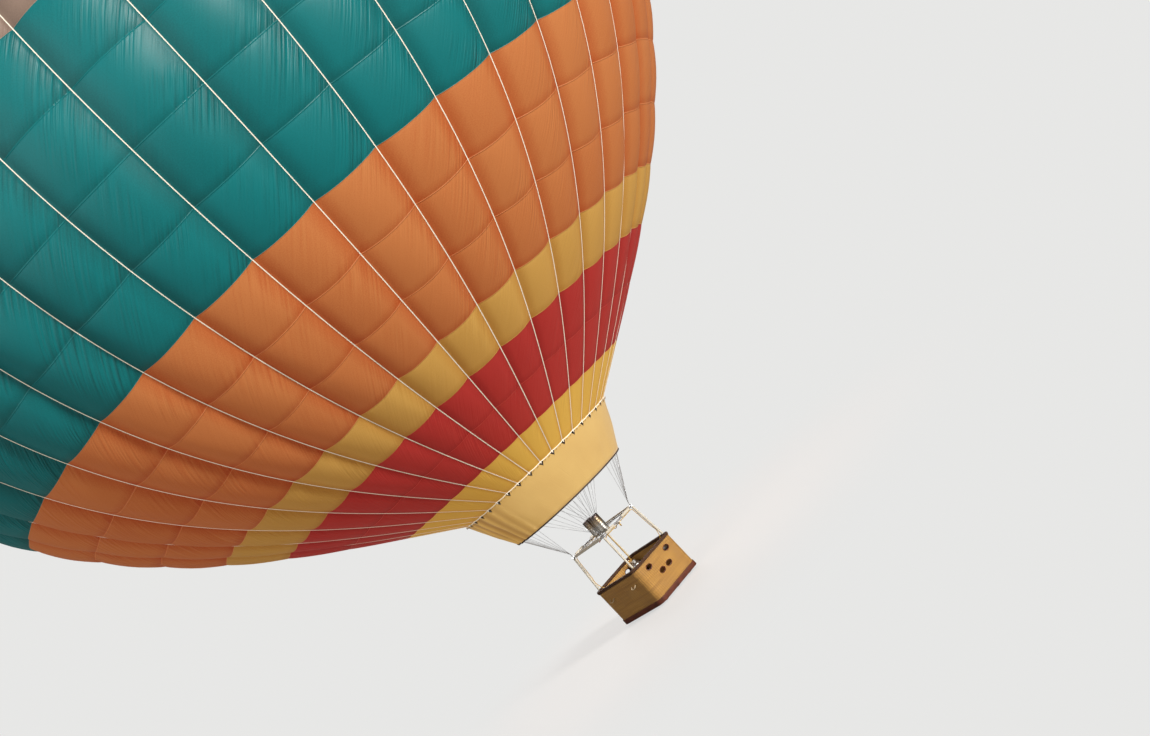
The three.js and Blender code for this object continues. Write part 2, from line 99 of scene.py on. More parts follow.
def run_along(line, closed=False):
    """The way along a line to each of its points, and back to its first point if it is closed."""
    line = np.array(line, float)
    if closed:
        line = np.vstack([line, line[:1]])
    return np.concatenate([[0], np.cumsum(np.linalg.norm(np.diff(line, axis=0), axis=1))])


def curve_through(corners, count):
    """Points evenly spaced along a smooth line through the corner points.

    Between two corners the line is a Catmull-Rom cubic: its slope at a corner is half the step
    from the corner before to the corner after.
    """
    corners = np.array(corners, float)
    padded = np.vstack([2 * corners[0] - corners[1], corners, 2 * corners[-1] - corners[-2]])
    share = np.linspace(0, 1, 24, endpoint=False)[:, None]
    a, b, c, d = (padded[k : len(padded) - 3 + k, None, :] for k in range(4))
    fine = (
        (2 * share**3 - 3 * share**2 + 1) * b
        + (share**3 - 2 * share**2 + share) * (c - a) / 2
        + (3 * share**2 - 2 * share**3) * c
        + (share**3 - share**2) * (d - b) / 2
    ).reshape(-1, 3)
    fine = np.vstack([fine, corners[-1]])
    run = run_along(fine)
    even = np.linspace(0, run[-1], count)
    return np.stack([np.interp(even, run, fine[:, k]) for k in range(3)], axis=1)


def cell_corners(values):
    """A grid's values at the four corners of each of its cells."""
    return np.stack([values[:-1, :-1], values[1:, :-1], values[1:, 1:], values[:-1, 1:]], axis=2)


def grid(points, uv, wrap):
    """Quads over a grid of points whose last row joins its first, and with wrap its columns too.

    uv holds the texture place of every point, and of the joining lines once more.
    """
    index = np.arange(points[..., 0].size).reshape(points.shape[:2])
    index = np.hstack([index, index[:, :1]])
    if wrap:
        index = np.vstack([index, index[:1]])
    return points.reshape(-1, 3), [(cell_corners(index).reshape(-1, 4), cell_corners(uv).reshape(-1, 4, 2))]


def untextured(faces):
    """Faces with a texture place of nought at each corner."""
    return faces, np.zeros((*faces.shape, 2))


def tube(path, radius, sides=8, reference=(0, 0, 1), closed=False, flat=1.0):
    """A round section carried along a path, square to it.

    The section's first axis is the path's direction crossed with the reference, and its second is
    that axis crossed with the direction. The radius may change along the path, and flat squeezes
    the second axis. Open ends get a cap.
    """
    path = np.array(path, float)
    along = np.roll(path, -1, axis=0) - np.roll(path, 1, axis=0) if closed else np.gradient(path, axis=0)
    along = unit(along)
    first = unit(np.cross(along, reference))
    second = np.cross(first, along)
    turn = around(sides)[:, None]
    ring = np.cos(turn) * first[:, None] + flat * np.sin(turn) * second[:, None]
    points = path[:, None] + np.broadcast_to(radius, (len(path),))[:, None, None] * ring
    uv = over(np.linspace(0, 1, sides + 1), run_along(path, closed)[:, None])
    points, groups = grid(points, uv, closed)
    if not closed:
        start = np.arange(sides)[None]
        groups += [untextured(start), untextured(start[:, ::-1] + (len(path) - 1) * sides)]
    return points, groups


def piece(name, parts, finish, stands_for=(), body="root", crisp=True):
    """One object from parts that each have their points and their groups of faces.

    Faces shade smoothly into each other, except where crisp edges turn by more than CRISP_TURN.
    """
    offset, points, corner_index, sizes, places = 0, [], [], [], []
    for part_points, groups in parts:
        points.append(part_points)
        for faces, uv in groups:
            corner_index.append((faces + offset).ravel())
            places.append(uv.reshape(-1, 2))
            sizes.append(np.full(len(faces), faces.shape[1]))
        offset += len(part_points)
    used, corner_index = np.unique(np.concatenate(corner_index), return_inverse=True)
    points = np.vstack(points)[used]
    sizes, places = np.concatenate(sizes), np.vstack(places)
    mesh = bpy.data.meshes.new(name)
    mesh.vertices.add(len(points))
    mesh.vertices.foreach_set("co", points.astype(np.float32).ravel())
    mesh.loops.add(len(corner_index))
    mesh.loops.foreach_set("vertex_index", corner_index.astype(np.int32))
    mesh.polygons.add(len(sizes))
    mesh.polygons.foreach_set("loop_start", (np.cumsum(sizes) - sizes).astype(np.int32))
    mesh.polygons.foreach_set("use_smooth", np.full(len(sizes), True))
    mesh.uv_layers.new(name="cloth").data.foreach_set("uv", places.astype(np.float32).ravel())
    mesh.update(calc_edges=True)
    mesh.validate()
    if crisp:
        mesh.set_sharp_from_angle(angle=CRISP_TURN)
    made = bpy.data.objects.new(name, mesh)
    bpy.context.scene.collection.objects.link(made)
    mesh.materials.append(finish)
    if body:
        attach(made, body)
    if stands_for:
        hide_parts(*stands_for)
    return made


def new_finish(name, colour, roughness, **settings):
    """A material with one Principled shader. Returns it, its node tree and its shader."""
    finish = bpy.data.materials.new(name)
    finish.use_nodes = True
    finish.diffuse_color = (*colour, 1)
    tree = finish.node_tree
    shader = tree.nodes["Principled BSDF"]
    shader.inputs["Base Color"].default_value = (*colour, 1)
    shader.inputs["Roughness"].default_value = roughness
    for key, value in settings.items():
        shader.inputs[key.replace("_", " ")].default_value = value
    return finish, tree, shader


def add(tree, kind, inputs=(), **settings):
    """A node with its settings, and its inputs given as values or as the sockets to link."""
    made = tree.nodes.new("ShaderNode" + kind)
    for key, value in settings.items():
        setattr(made, key, value)
    for key, value in dict(inputs).items():
        if isinstance(value, bpy.types.NodeSocket):
            tree.links.new(value, made.inputs[key])
        else:
            made.inputs[key].default_value = value
    return made


def maths(tree, operation, *values, clamp=False):
    """The result of a maths node on values or sockets."""
    return add(tree, "Math", enumerate(values), operation=operation, use_clamp=clamp).outputs[0]


def scaled(tree, value, factor, offset, clamp=False):
    """A value times a factor plus an offset."""
    return maths(tree, "MULTIPLY_ADD", value, factor, offset, clamp=clamp)


def near(tree, value, reach):
    """A share that is 1 where a value is nought and falls to 0 at its reach."""
    return maths(tree, "SUBTRACT", 1.0, maths(tree, "DIVIDE", value, reach, clamp=True))


def mixed(tree, share, a, b):
    """The colour mixed from a to b."""
    values = [(*value, 1) if isinstance(value, tuple) else value for value in (a, b)]
    return add(tree, "Mix", {0: share, 6: values[0], 7: values[1]}, data_type="RGBA").outputs[2]


def on_cloth(tree):
    """A point's place in the mesh's own texture map."""
    return add(tree, "UVMap", uv_map="cloth").outputs[0]


def on_object(tree):
    """A point's place in the object."""
    return add(tree, "TexCoord").outputs["Object"]


def stretched(tree, place, scale):
    """A place with its three directions stretched."""
    return add(tree, "Mapping", {"Vector": place, "Scale": scale}).outputs[0]


def noise(tree, place, scale, detail, dimensions="3D", **more):
    """The value of a noise texture at a place."""
    inputs = {"Vector": place, "Scale": scale, "Detail": detail, **more}
    return add(tree, "TexNoise", inputs, noise_dimensions=dimensions).outputs["Fac"]


def wave(tree, place, scale, direction="Y", **more):
    """The value of a wave texture at a place."""
    inputs = {"Vector": place, "Scale": scale, **more}
    return add(tree, "TexWave", inputs, bands_direction=direction).outputs["Fac"]


def painted(tree, shader, colour, value, gain, base):
    """Feeds a colour into the shader, and a roughness that is the value times a gain plus a base."""
    tree.links.new(colour, shader.inputs["Base Color"])
    tree.links.new(scaled(tree, value, gain, base), shader.inputs["Roughness"])


def bumped(tree, shader, height, distance, strength=1.0):
    """Feeds a height through a Bump node into the shader's normal."""
    bump = add(tree, "Bump", {"Height": height, "Distance": distance, "Strength": strength})
    tree.links.new(bump.outputs[0], shader.inputs["Normal"])


def patterned(tree, shader, value, colours, gain, base, distance, strength=1.0):
    """Colour from the first to the second, roughness and bump that all follow one value."""
    painted(tree, shader, mixed(tree, value, *colours), value, gain, base)
    bumped(tree, shader, value, distance, strength)


def group_of(name, places, values, results):
    """An empty node group with named sockets. Returns it, the inputs and the outputs."""
    made = bpy.data.node_groups.new(name, "ShaderNodeTree")
    for sockets, way, kind in (
        (places, "INPUT", "NodeSocketVector"),
        (values, "INPUT", "NodeSocketFloat"),
        (results, "OUTPUT", "NodeSocketFloat"),
    ):
        for socket in sockets:
            made.interface.new_socket(socket, in_out=way, socket_type=kind)
    return made, made.nodes.new("NodeGroupInput").outputs, made.nodes.new("NodeGroupOutput").inputs


# Scuffs and dust: mottled values from two sizes of noise, used on rubber, metal, wood and leather.
scuffs, given, result = group_of("scuffs", ["Place"], ["Size", "Amount"], ["Mottle", "Scratch"])
fine_size = maths(scuffs, "MULTIPLY", given["Size"], 9.0)
for name, value in (
    ("Mottle", noise(scuffs, given["Place"], given["Size"], 5.0)),
    ("Scratch", noise(scuffs, given["Place"], fine_size, 3.0, Distortion=1.5)),
):
    value = maths(scuffs, "SUBTRACT", value, 0.5)
    scuffs.links.new(maths(scuffs, "MULTIPLY", value, given["Amount"]), result[name])


def scuffed(tree, shader, light, dark, roughness, size, amount):
    """Puts the scuffs group on a shader's colour and roughness. Returns the group's outputs."""
    inputs = {"Place": on_object(tree), "Size": size, "Amount": amount}
    worn = add(tree, "Group", inputs, node_tree=scuffs).outputs
    share = maths(tree, "ADD", worn["Mottle"], 0.5, clamp=True)
    painted(tree, shader, mixed(tree, share, dark, light), worn["Scratch"], 0.5, roughness)
    return worn


def scratched(name, colour, roughness, light, dark, size, amount, depth, **settings):
    """A finish of one colour with scuffs, and with scratches of a depth."""
    finish, tree, shader = new_finish(name, colour, roughness, **settings)
    worn = scuffed(tree, shader, light, dark, roughness, size, amount)
    bumped(tree, shader, worn["Scratch"], depth)
    return finish


hose_rubber, tree, shader = new_finish("hose_rubber", (0.62, 0.36, 0.03), 0.5, Coat_Weight=0.1)
scuffed(tree, shader, (0.70, 0.42, 0.04), (0.48, 0.25, 0.02), 0.5, 14.0, 1.4)
bumped(tree, shader, wave(tree, on_cloth(tree), 60.0), 0.0006)

HOSE_RADIUS = 0.0085
HOSE_SIDES = 10
HOSE_BEND = 0.085
HOSE_BEND_IN = (0.035, 0.0395)
HOSE_BEND_DRIFT = 0.014
HOSE_FROM_VALVE = ((0, 0), (0, 0.06), (0.016, 0.115), (0.050, 0.180))  # outwards, up
HOSE_AT_FOOT = (0.004, 0.20)
HOSE_ON_UPRIGHT = (0.35, 0.60, 0.80)
HOSE_ON_FRAME = ((0.010, 0.40), (0.003, 0.28), (0, 0.20), (0, 0.115))  # inwards, along
TANK_VALVE_Z = -15.350
TEE_Z = -14.192
FRAME_TUBE = 0.020
CORNER_INSET = 0.010
UPRIGHT_INSET = 0.027
UPRIGHT_GAP = 0.047 * 0.7071
GIMBAL_X = 0.705
UNION_Y = 0.062
UNION_UP = 0.026
INLET = (0.322, 0.02, -14.15)
JUMPER_ENDS = (-0.014, 0.012)
JUMPER_DROP = 0.025
JUMPER_SAG = 0.115
JUMPER_LEAVES = np.array([-0.05, -0.004, -0.030])
JUMPER_ARRIVES = np.array([0.06, 0.004, -0.045])


def middle_of(box):
    """The middle of a box."""
    return (np.array(box[0]) + np.array(box[1])) / 2


frame_box, upright_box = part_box("load_frame"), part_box("upright_rear_right")
tank_middle = {name: middle_of(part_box(f"fuel_tank_{name}")) for name, _, _ in CORNERS}
frame_x, frame_y = frame_box[1][0] - FRAME_TUBE, frame_box[1][1] - FRAME_TUBE
pivot_z = middle_of(frame_box)[2]
upright_top = np.array(upright_box[1])
upright_foot = np.array([*(upright_top[:2] - UPRIGHT_INSET), upright_box[0][2]])
upright_head = np.array([frame_x - CORNER_INSET, frame_y - CORNER_INSET, upright_top[2]])


def hang(line):
    """Reads a cord's first point as a tuple, and does nothing more with it."""
    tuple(line[0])


def hose(name, route, count, hinge=None):
    """A hose along a route, fast to the root body. With a hinge it is fast to no body; its mesh is baked."""
    line = curve_through(route, count)
    body = None if hinge else "root"
    made = piece(name, [tube(line, HOSE_RADIUS, HOSE_SIDES, SKEW)], hose_rubber, body=body)
    if hinge:
        bodies, start, end = hinge
        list(bodies)
        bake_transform(made)
        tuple(start)
        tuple(end)
    hang(line)


for name, x, y in CORNERS:
    side, outward = np.array([x, y, 1.0]), np.array([x, y, 0])
    valve = np.array([*tank_middle[name][:2], TANK_VALVE_Z])
    foot = upright_foot * side - outward * UPRIGHT_GAP
    head = upright_head * side - outward * UPRIGHT_GAP
    turn = np.linspace(0, math.pi / 2, 4)
    bend = over(
        x * (frame_x - HOSE_BEND_IN[0] + HOSE_BEND_DRIFT * turn / (math.pi / 2)),
        y * (frame_y - HOSE_BEND_IN[1] - HOSE_BEND * (1 - np.cos(turn))),
        TEE_Z - HOSE_BEND * (1 - np.sin(turn)),
    )
    route = [valve + outward * out + UP * rise for out, rise in HOSE_FROM_VALVE]
    route.append(foot - outward * HOSE_AT_FOOT[0] + UP * HOSE_AT_FOOT[1])
    route += [foot + (head - foot) * share for share in HOSE_ON_UPRIGHT]
    route += [*bend, *((x * (frame_x - inset), y * along, TEE_Z) for inset, along in HOSE_ON_FRAME)]
    hose(f"fuel_hose_{name}", route, 60)

for side_name, x in (("right", 1), ("left", -1)):
    start = np.array([x * frame_x, 0.0, TEE_Z + JUMPER_ENDS[0]])
    end = np.array([x * GIMBAL_X, UNION_Y, TEE_Z + JUMPER_ENDS[1]])
    turn = np.linspace(0, math.pi, 7)[:, None]
    span = (end - start) * (1, 1, 0)
    loop = start + span * (1 - np.cos(turn)) / 2
    loop = loop - UP * (JUMPER_DROP + np.linalg.norm(span) / 2 * np.sin(turn))
    loop = np.vstack([start, loop, (loop[-1] + end) / 2, end])
    hinge = (("root", "gimbal"), (x * (frame_x - 0.01), 0, 0), (x * (GIMBAL_X + 0.01), 0, 0))
    hose(f"frame_jumper_{side_name}", loop, 40, hinge)
    start = np.array([x * (GIMBAL_X - 0.022), UNION_Y, TEE_Z + UNION_UP])
    end = np.array(INLET) * (x, 1, 1)
    side = (x, 1, 1)
    low = (start + end) / 2 - UP * JUMPER_SAG
    arc = [start, start + JUMPER_LEAVES * side, low, end + JUMPER_ARRIVES * side, end]
    hinge = (("gimbal", "burner"), (x * (GIMBAL_X - 0.03), 0, 0), (x * 0.34, 0, 0))
    hose(f"burner_jumper_{side_name}", arc, 40, hinge)

# Envelope. Forty gores of coated nylon, each of panels one row high sewn edge to edge in ten bands of
# colour. Hot air presses every gore out between its two load tapes. Each band is made of four
# quarters that meet on a tape, each a closed shell of the same cloth.
GORES = 40
ROW = 1.46
MOUTH_RADIUS = 2.362
MOUTH_LEAN = math.radians(56.76)
EQUATOR_ROW = 10.62
CROWN_FLATNESS = 1.25
CLOTH = 0.010
BULGE = 0.13
MOUTH_BULGE = 0.035
FULL_BULGE_ROW = 4.5
BULGE_POWER = 2.15
BILLOW = 0.029
SEAM_DRAW = 0.006
SEAM_GAP = 0.00015
RIPPLES = 9
RIPPLE_REACH = 0.0016
GORE_COLUMNS = 12
PANEL_STEPS = np.array([0.0, 0.025, 0.07, 0.15, 0.27, 0.42, 0.58, 0.73, 0.85, 0.93, 0.975])
QUARTERS = (("first", 0), ("second", 1), ("third", 2), ("fourth", 3))
BANDS = (
    ("band_lower_gold", 0, 1, "fabric_gold"),
    ("band_lower_red", 1, 3, "fabric_red"),
    ("band_lower_yellow", 3, 4, "fabric_yellow"),
    ("band_lower_orange", 4, 7, "fabric_orange"),
    ("band_lower_teal", 7, 11, "fabric_teal"),
    ("band_middle_tan", 11, 13, "fabric_tan"),
    ("band_upper_teal", 13, 16, "fabric_teal"),
    ("band_upper_orange", 16, 18, "fabric_orange"),
    ("band_upper_yellow", 18, 19, "fabric_yellow"),
    ("band_upper_red", 19, 20, "fabric_red"),
)

# The load tape's line, walked in short steps of row: lean from upright, radius and height.
WALK = 4096
share = (np.arange(WALK) + 0.5) / WALK
lower_lean = MOUTH_LEAN * (1 - share**2)
upper_lean = -math.pi / 2 * (1 - (1 - share) ** CROWN_FLATNESS)
lower_step = EQUATOR_ROW / WALK
equator_radius = MOUTH_RADIUS + float(np.sin(lower_lean).sum()) * lower_step * ROW
upper_rows = equator_radius / ROW / float(np.sin(-upper_lean).mean())
upper_step = upper_rows / WALK
steps = np.arange(1, WALK + 1)
walk_row = np.concatenate([[0], lower_step * steps, EQUATOR_ROW + upper_step * steps])
walk_lean = np.concatenate([lower_lean, upper_lean])
walk_step = np.repeat([lower_step, upper_step], WALK) * ROW
walk_radius = MOUTH_RADIUS + np.concatenate([[0], np.cumsum(np.sin(walk_lean) * walk_step)])
walk_height = np.concatenate([[0], np.cumsum(np.cos(walk_lean) * walk_step)])
walk_height -= walk_height[WALK]
lean_row = (walk_row[1:] + walk_row[:-1]) / 2
CROWN_ROW = EQUATOR_ROW + upper_rows
MOUTH_Z = float(walk_height[0])

chance = np.random.default_rng(7)
ripple_gore = chance.integers(1, 14, RIPPLES)
ripple_row = chance.uniform(0.4, 2.6, RIPPLES)
ripple_turn = chance.uniform(0, 2 * math.pi, RIPPLES)


def tape_line(rows):
    """Radius, height and lean of a load tape at rows counted from the mouth."""
    radius, height = (np.interp(rows, walk_row, line) for line in (walk_radius, walk_height))
    return radius, height, np.interp(rows, lean_row, walk_lean)


def tape_turn(tape):
    """The angle of a load tape round the axis."""
    return (tape + 0.5) * 2 * math.pi / GORES


def facing(turn):
    """The unit vectors outwards and sideways at an angle round the axis."""
    outward = np.array([math.cos(turn), math.sin(turn), 0])
    return outward, np.array([-outward[1], outward[0], 0])


def gore_surface(gores, rows, out=0.0):
    """Points of the cloth. gores counts load tapes round the balloon, rows count from the mouth.

    A gore's cloth spans the chord between its two tapes, and stands out from it, square to the
    lean, by an arc that grows from the mouth up to 0.13 of the gore's width. Each panel billows as
    half a sine between its seams, and the seam draws in.
    """
    gores, rows = np.broadcast_arrays(gores, rows)
    radius, height, lean = tape_line(rows)
    gore = np.floor(gores - 1e-9)
    across = gores - gore
    first = tape_turn(gore)
    second = first + 2 * math.pi / GORES
    middle = (first + second) / 2
    x = radius * (np.cos(first) * (1 - across) + np.cos(second) * across)
    y = radius * (np.sin(first) * (1 - across) + np.sin(second) * across)
    width = 2 * radius * math.sin(math.pi / GORES)
    arc = 1 - np.abs(2 * across - 1) ** BULGE_POWER
    in_row = rows - np.floor(rows)
    seam = np.minimum(in_row, 1 - in_row)
    full = np.clip(rows / FULL_BULGE_ROW, 0, 1)
    full = full * full * (3 - 2 * full)
    bulge = MOUTH_BULGE + (BULGE - MOUTH_BULGE) * full
    billow = BILLOW * (np.sin(math.pi * in_row) - 0.6) - SEAM_DRAW * np.exp(-((seam / 0.03) ** 2))
    waves = zip(ripple_gore, ripple_row, ripple_turn)
    ripple = sum(np.sin(a * gores * 2 * math.pi / GORES * 5 + b * rows + c) for a, b, c in waves)
    swell = (bulge + (billow + RIPPLE_REACH * ripple) * full) * width * arc + out
    level = np.cos(lean) * swell
    return over(x + level * np.cos(middle), y + level * np.sin(middle), height - np.sin(lean) * swell)


def shell(outer, inner, uv, wrap=False, keep=None):
    """A closed shell: the outer grid, the inner grid turned over, and a strip along every open edge.

    keep says which cells of the grid are there, for a shell with holes.
    """
    count = outer[..., 0].size
    index = np.arange(count).reshape(outer.shape[:2])
    if wrap:
        index = np.vstack([index, index[:1]])
    cells, places = cell_corners(index), cell_corners(uv)
    across, high = cells.shape[:2]
    if keep is None:
        keep = np.ones((across, high), bool)
    beyond = np.pad(keep, 1)
    if wrap:
        beyond[0, 1:-1], beyond[-1, 1:-1] = keep[-1], keep[0]
    groups = [(cells[keep], places[keep]), (cells[keep][:, ::-1] + count, places[keep][:, ::-1])]
    for start, end, step_u, step_v in ((0, 1, 0, -1), (1, 2, 1, 0), (2, 3, 0, 1), (3, 0, -1, 0)):
        neighbour = beyond[1 + step_u : 1 + step_u + across, 1 + step_v : 1 + step_v + high]
        edge = keep & ~neighbour
        first, second = cells[edge][:, start], cells[edge][:, end]
        strip = np.stack([second, first, first + count, second + count], axis=1)
        groups.append((strip, places[edge][:, [end, start, start, end]]))
    return np.concatenate([outer, inner]).reshape(-1, 3), groups


# Panel seams: how near a point is to the seams of its row and to its load tapes, how far it is up
# from the seam below, and a tone for each panel. The nearness to the tapes and the rise from the seam
# below are masks for painted shade.
seams, given, result = group_of("panel_seams", ["Panel"], [], ["Seam", "Tape Shade", "Fold Shade", "Panel Tone"])
split = add(seams, "SeparateXYZ", {0: given["Panel"]}).outputs
in_gore, in_row = (maths(seams, "FRACT", split[axis]) for axis in "XY")
from_seam, from_tape = (maths(seams, "PINGPONG", value, 0.5) for value in (in_row, in_gore))
cell = add(seams, "CombineXYZ", {k: maths(seams, "FLOOR", split[k]) for k in range(2)}).outputs[0]
tone = add(seams, "TexWhiteNoise", {"Vector": cell}, noise_dimensions="2D").outputs["Value"]
for name, value in (
    ("Seam", near(seams, from_seam, 0.012)),
    ("Tape Shade", near(seams, from_tape, 0.22)),
    ("Fold Shade", near(seams, in_row, 0.16)),
    ("Panel Tone", tone),
):
    seams.links.new(value, result[name])

# Creases: fine streaks of cloth pulled slantwise towards the next tape. They are strong in patches
# beside that tape and fade out across the gore.
creases, given, result = group_of("slanting_creases", ["Panel"], ["Amount", "Fine"], ["Height", "Weave"])
turned = add(creases, "Mapping", {"Vector": given["Panel"], "Rotation": (0, 0, 0.68)}).outputs[0]
turned = stretched(creases, turned, (27.0, 0.75, 1))
streaks = noise(creases, turned, 1.0, 1.5, "2D", Roughness=0.45)
patches = scaled(creases, noise(creases, given["Panel"], 0.9, 1.0, "2D"), 4.5, -1.7, clamp=True)
split = add(creases, "SeparateXYZ", {0: given["Panel"]}).outputs
towards_tape = scaled(creases, maths(creases, "FRACT", split["X"]), 2.4, -0.75, clamp=True)
strength = scaled(creases, maths(creases, "MULTIPLY", patches, towards_tape), given["Amount"], 0.10)
weave = noise(creases, given["Panel"], 60.0, 1.0, "2D")
for name, value, amount in (("Height", streaks, strength), ("Weave", weave, given["Fine"])):
    value = maths(creases, "SUBTRACT", value, 0.5)
    creases.links.new(maths(creases, "MULTIPLY", value, amount), result[name])


def pulled_cloth(tree, amount, fine):
    """The place on the cloth and the outputs of the creases group there."""
    panel = on_cloth(tree)
    inputs = {"Panel": panel, "Amount": amount, "Fine": fine}
    return panel, add(tree, "Group", inputs, node_tree=creases).outputs


def glow_through(tree, shader, cloth, strength):
    """Painted glow for daylight that comes through cloth: emission in its colour squared, so it is deeper.
    """
    deep = add(tree, "Gamma", {"Color": cloth, "Gamma": 2.0})
    tree.links.new(deep.outputs[0], shader.inputs["Emission Color"])
    shader.inputs["Emission Strength"].default_value = strength


def nylon(name, colour, shade, seam_stitch_and_highlight, creasing, glow):
    """Coated nylon: painted shade beside tapes, above seams and in its slanting creases; lighter sewn seams.
    """
    finish, tree, shader = new_finish(name, colour, 0.5, Specular_IOR_Level=0.38)
    panel, pulled = pulled_cloth(tree, creasing, 0.5)
    sewn = add(tree, "Group", {"Panel": panel}, node_tree=seams).outputs
    tone_and_fold_shade = maths(tree, "ADD", maths(tree, "MULTIPLY", sewn["Panel Tone"], 0.16), pulled["Weave"])
    # Painted shade above each seam.
    tone_and_fold_shade = maths(tree, "ADD", tone_and_fold_shade, maths(tree, "MULTIPLY", sewn["Fold Shade"], 0.35))
    # Painted shade beside the tapes.
    share = scaled(tree, sewn["Tape Shade"], 0.50, tone_and_fold_shade)
    # Painted shade in the creases.
    crease_shade = maths(tree, "MULTIPLY", pulled["Height"], 1.3)
    cloth = mixed(tree, maths(tree, "ADD", share, crease_shade, clamp=True), colour, shade)
    # Seam line lighter from its stitching and from a painted highlight where the seam's fold meets the
    # light.
    cloth = mixed(tree, maths(tree, "MULTIPLY", sewn["Seam"], 0.6), cloth, seam_stitch_and_highlight)
    painted(tree, shader, cloth, pulled["Height"], 0.25, 0.48)
    # Painted glow.
    glow_through(tree, shader, cloth, glow)
    height = maths(tree, "ADD", pulled["Height"], maths(tree, "MULTIPLY", sewn["Seam"], 0.25))
    bumped(tree, shader, height, 0.040, 0.9)
    return finish


# Columns: name, colour, painted shade beside tapes, above seams and in creases, seam colour of stitching and
# painted highlight, creasing, strength of the painted glow.
cloths = {
    name: nylon(name, colour, shade, seam_stitch_and_highlight, creasing, glow)
    for name, colour, shade, seam_stitch_and_highlight, creasing, glow in (
        ("fabric_gold", (0.78, 0.53, 0.125), (0.60, 0.32, 0.034), (0.84, 0.62, 0.22), 0.3, 0.36),
        ("fabric_red", (0.42, 0.042, 0.037), (0.30, 0.014, 0.014), (0.50, 0.080, 0.060), 0.25, 0.78),
        ("fabric_yellow", (0.59, 0.365, 0.100), (0.44, 0.200, 0.026), (0.66, 0.45, 0.16), 0.3, 0.40),
        ("fabric_orange", (0.480, 0.195, 0.066), (0.38, 0.070, 0.010), (0.62, 0.31, 0.14), 0.45, 0.66),
        ("fabric_teal", (0.0030, 0.180, 0.190), (0.001, 0.088, 0.090), (0.008, 0.225, 0.235), 1.15, 0.55),
        ("fabric_tan", (0.30, 0.215, 0.170), (0.20, 0.14, 0.11), (0.36, 0.27, 0.22), 0.4, 0.50),
    )
}

even = np.linspace(0, 1, GORE_COLUMNS + 1)
column_share = 0.45 * ((1 - np.cos(math.pi * even)) / 2) + 0.55 * even
tapes = GORES // 4
for name, low, high, cloth in BANDS:
    rows = np.append((np.arange(low, high)[:, None] + PANEL_STEPS).ravel(), float(high))
    rows[0] += SEAM_GAP / ROW
    rows[-1] -= SEAM_GAP / ROW
    for quarter_name, quarter in QUARTERS:
        gores = (quarter * tapes + np.arange(tapes)[:, None] + column_share[:-1]).ravel()
        gores = np.append(gores, (quarter + 1) * tapes)[:, None]
        outer, inner = gore_surface(gores, rows), gore_surface(gores, rows, out=-CLOTH)
        parts = [shell(outer, inner, over(gores, rows))]
        band = piece(f"{name}_{quarter_name}", parts, cloths[cloth], [name])

# Load tapes. White polyester webbing sewn over every gore seam, from the mouth hem up across the
# vent to the hub at the crown. It carries the load, so the cloth on both sides stands above it.
TAPE_HALF = 0.015
TAPE_NARROW = 0.72
TAPE_THICK = 0.003
TAPE_LIFT = 0.006
TAPE_FOOT_RADII = (2.374, 2.372)
TAPE_ROWS_PER_PANEL = 8
TAPE_WHITE = (0.92, 0.87, 0.76)
VALLEY_SLOPE = 0.56
VENT_ROW = 20
HUB_RADIUS = 0.36
HUB_HOLE = 0.12
HEM_FOOT = -11.784
TAPE_FOOT = HEM_FOOT + 0.034

webbing, tree, shader = new_finish("load_tape", (0.74, 0.71, 0.62), 0.75, Sheen_Weight=0.2)
dirt = noise(tree, on_cloth(tree), 2.5, 4.0)
aged = mixed(tree, maths(tree, "MULTIPLY", dirt, 0.5), TAPE_WHITE, (0.68, 0.62, 0.52))
painted(tree, shader, aged, dirt, 0.3, 0.6)
bumped(tree, shader, wave(tree, on_cloth(tree), 55.0), 0.0003, 0.5)
# Painted glow, so the tapes stay pale where they lie in shade.
glow_through(tree, shader, (*TAPE_WHITE, 1), 0.26)

over_panels = np.linspace(0, VENT_ROW, VENT_ROW * TAPE_ROWS_PER_PANEL + 1)
over_vent = np.linspace(VENT_ROW, CROWN_ROW - (HUB_RADIUS * 0.8) / ROW, 12)[1:]
tape_rows = np.append(over_panels, over_vent)
tape_radius, tape_height, tape_lean = tape_line(tape_rows)
tape_radius = np.append(TAPE_FOOT_RADII, tape_radius)
tape_height = np.append([TAPE_FOOT, TAPE_FOOT + 0.030], tape_height)
tape_lean = np.append([0.0, 0.2], tape_lean)
in_valley = np.append([0.0, 0.5], np.clip((VENT_ROW - tape_rows) / 0.1, 0, 1))
tape_width = np.clip(np.append([0, 0], tape_rows) - (VENT_ROW - 1), 0, 1) * (1 - TAPE_NARROW) + TAPE_NARROW
sideways = np.array([-TAPE_HALF, 0.0, TAPE_HALF])[:, None] * tape_width
lift = (TAPE_LIFT + VALLEY_SLOPE * np.abs(sideways) * in_valley)[..., None]
parts = []
for tape in range(GORES):
    outward, beside = facing(tape_turn(tape))
    normal = np.cos(tape_lean)[:, None] * outward - np.sin(tape_lean)[:, None] * UP
    line = tape_radius[:, None] * outward + tape_height[:, None] * UP + sideways[..., None] * beside
    uv = over(sideways + tape, np.arange(len(tape_height)) * 0.18)
    parts.append(shell(line + lift * normal, line + (lift - TAPE_THICK) * normal, uv))
piece("load_tapes", parts, webbing, ["crown_tapes"])


def lathe(profile, segments, centre=(0, 0, 0)):
    """A closed line of radius and height points turned about an upright axis at the centre."""
    radius, height = np.array(profile, float).T
    turn = around(segments)[:, None]
    x, y = np.cos(turn) * radius + centre[0], np.sin(turn) * radius + centre[1]
    uv = over(np.linspace(0, 1, segments + 1)[:, None], run_along(profile, closed=True))
    return grid(over(x, y, height + centre[2]), uv, wrap=True)


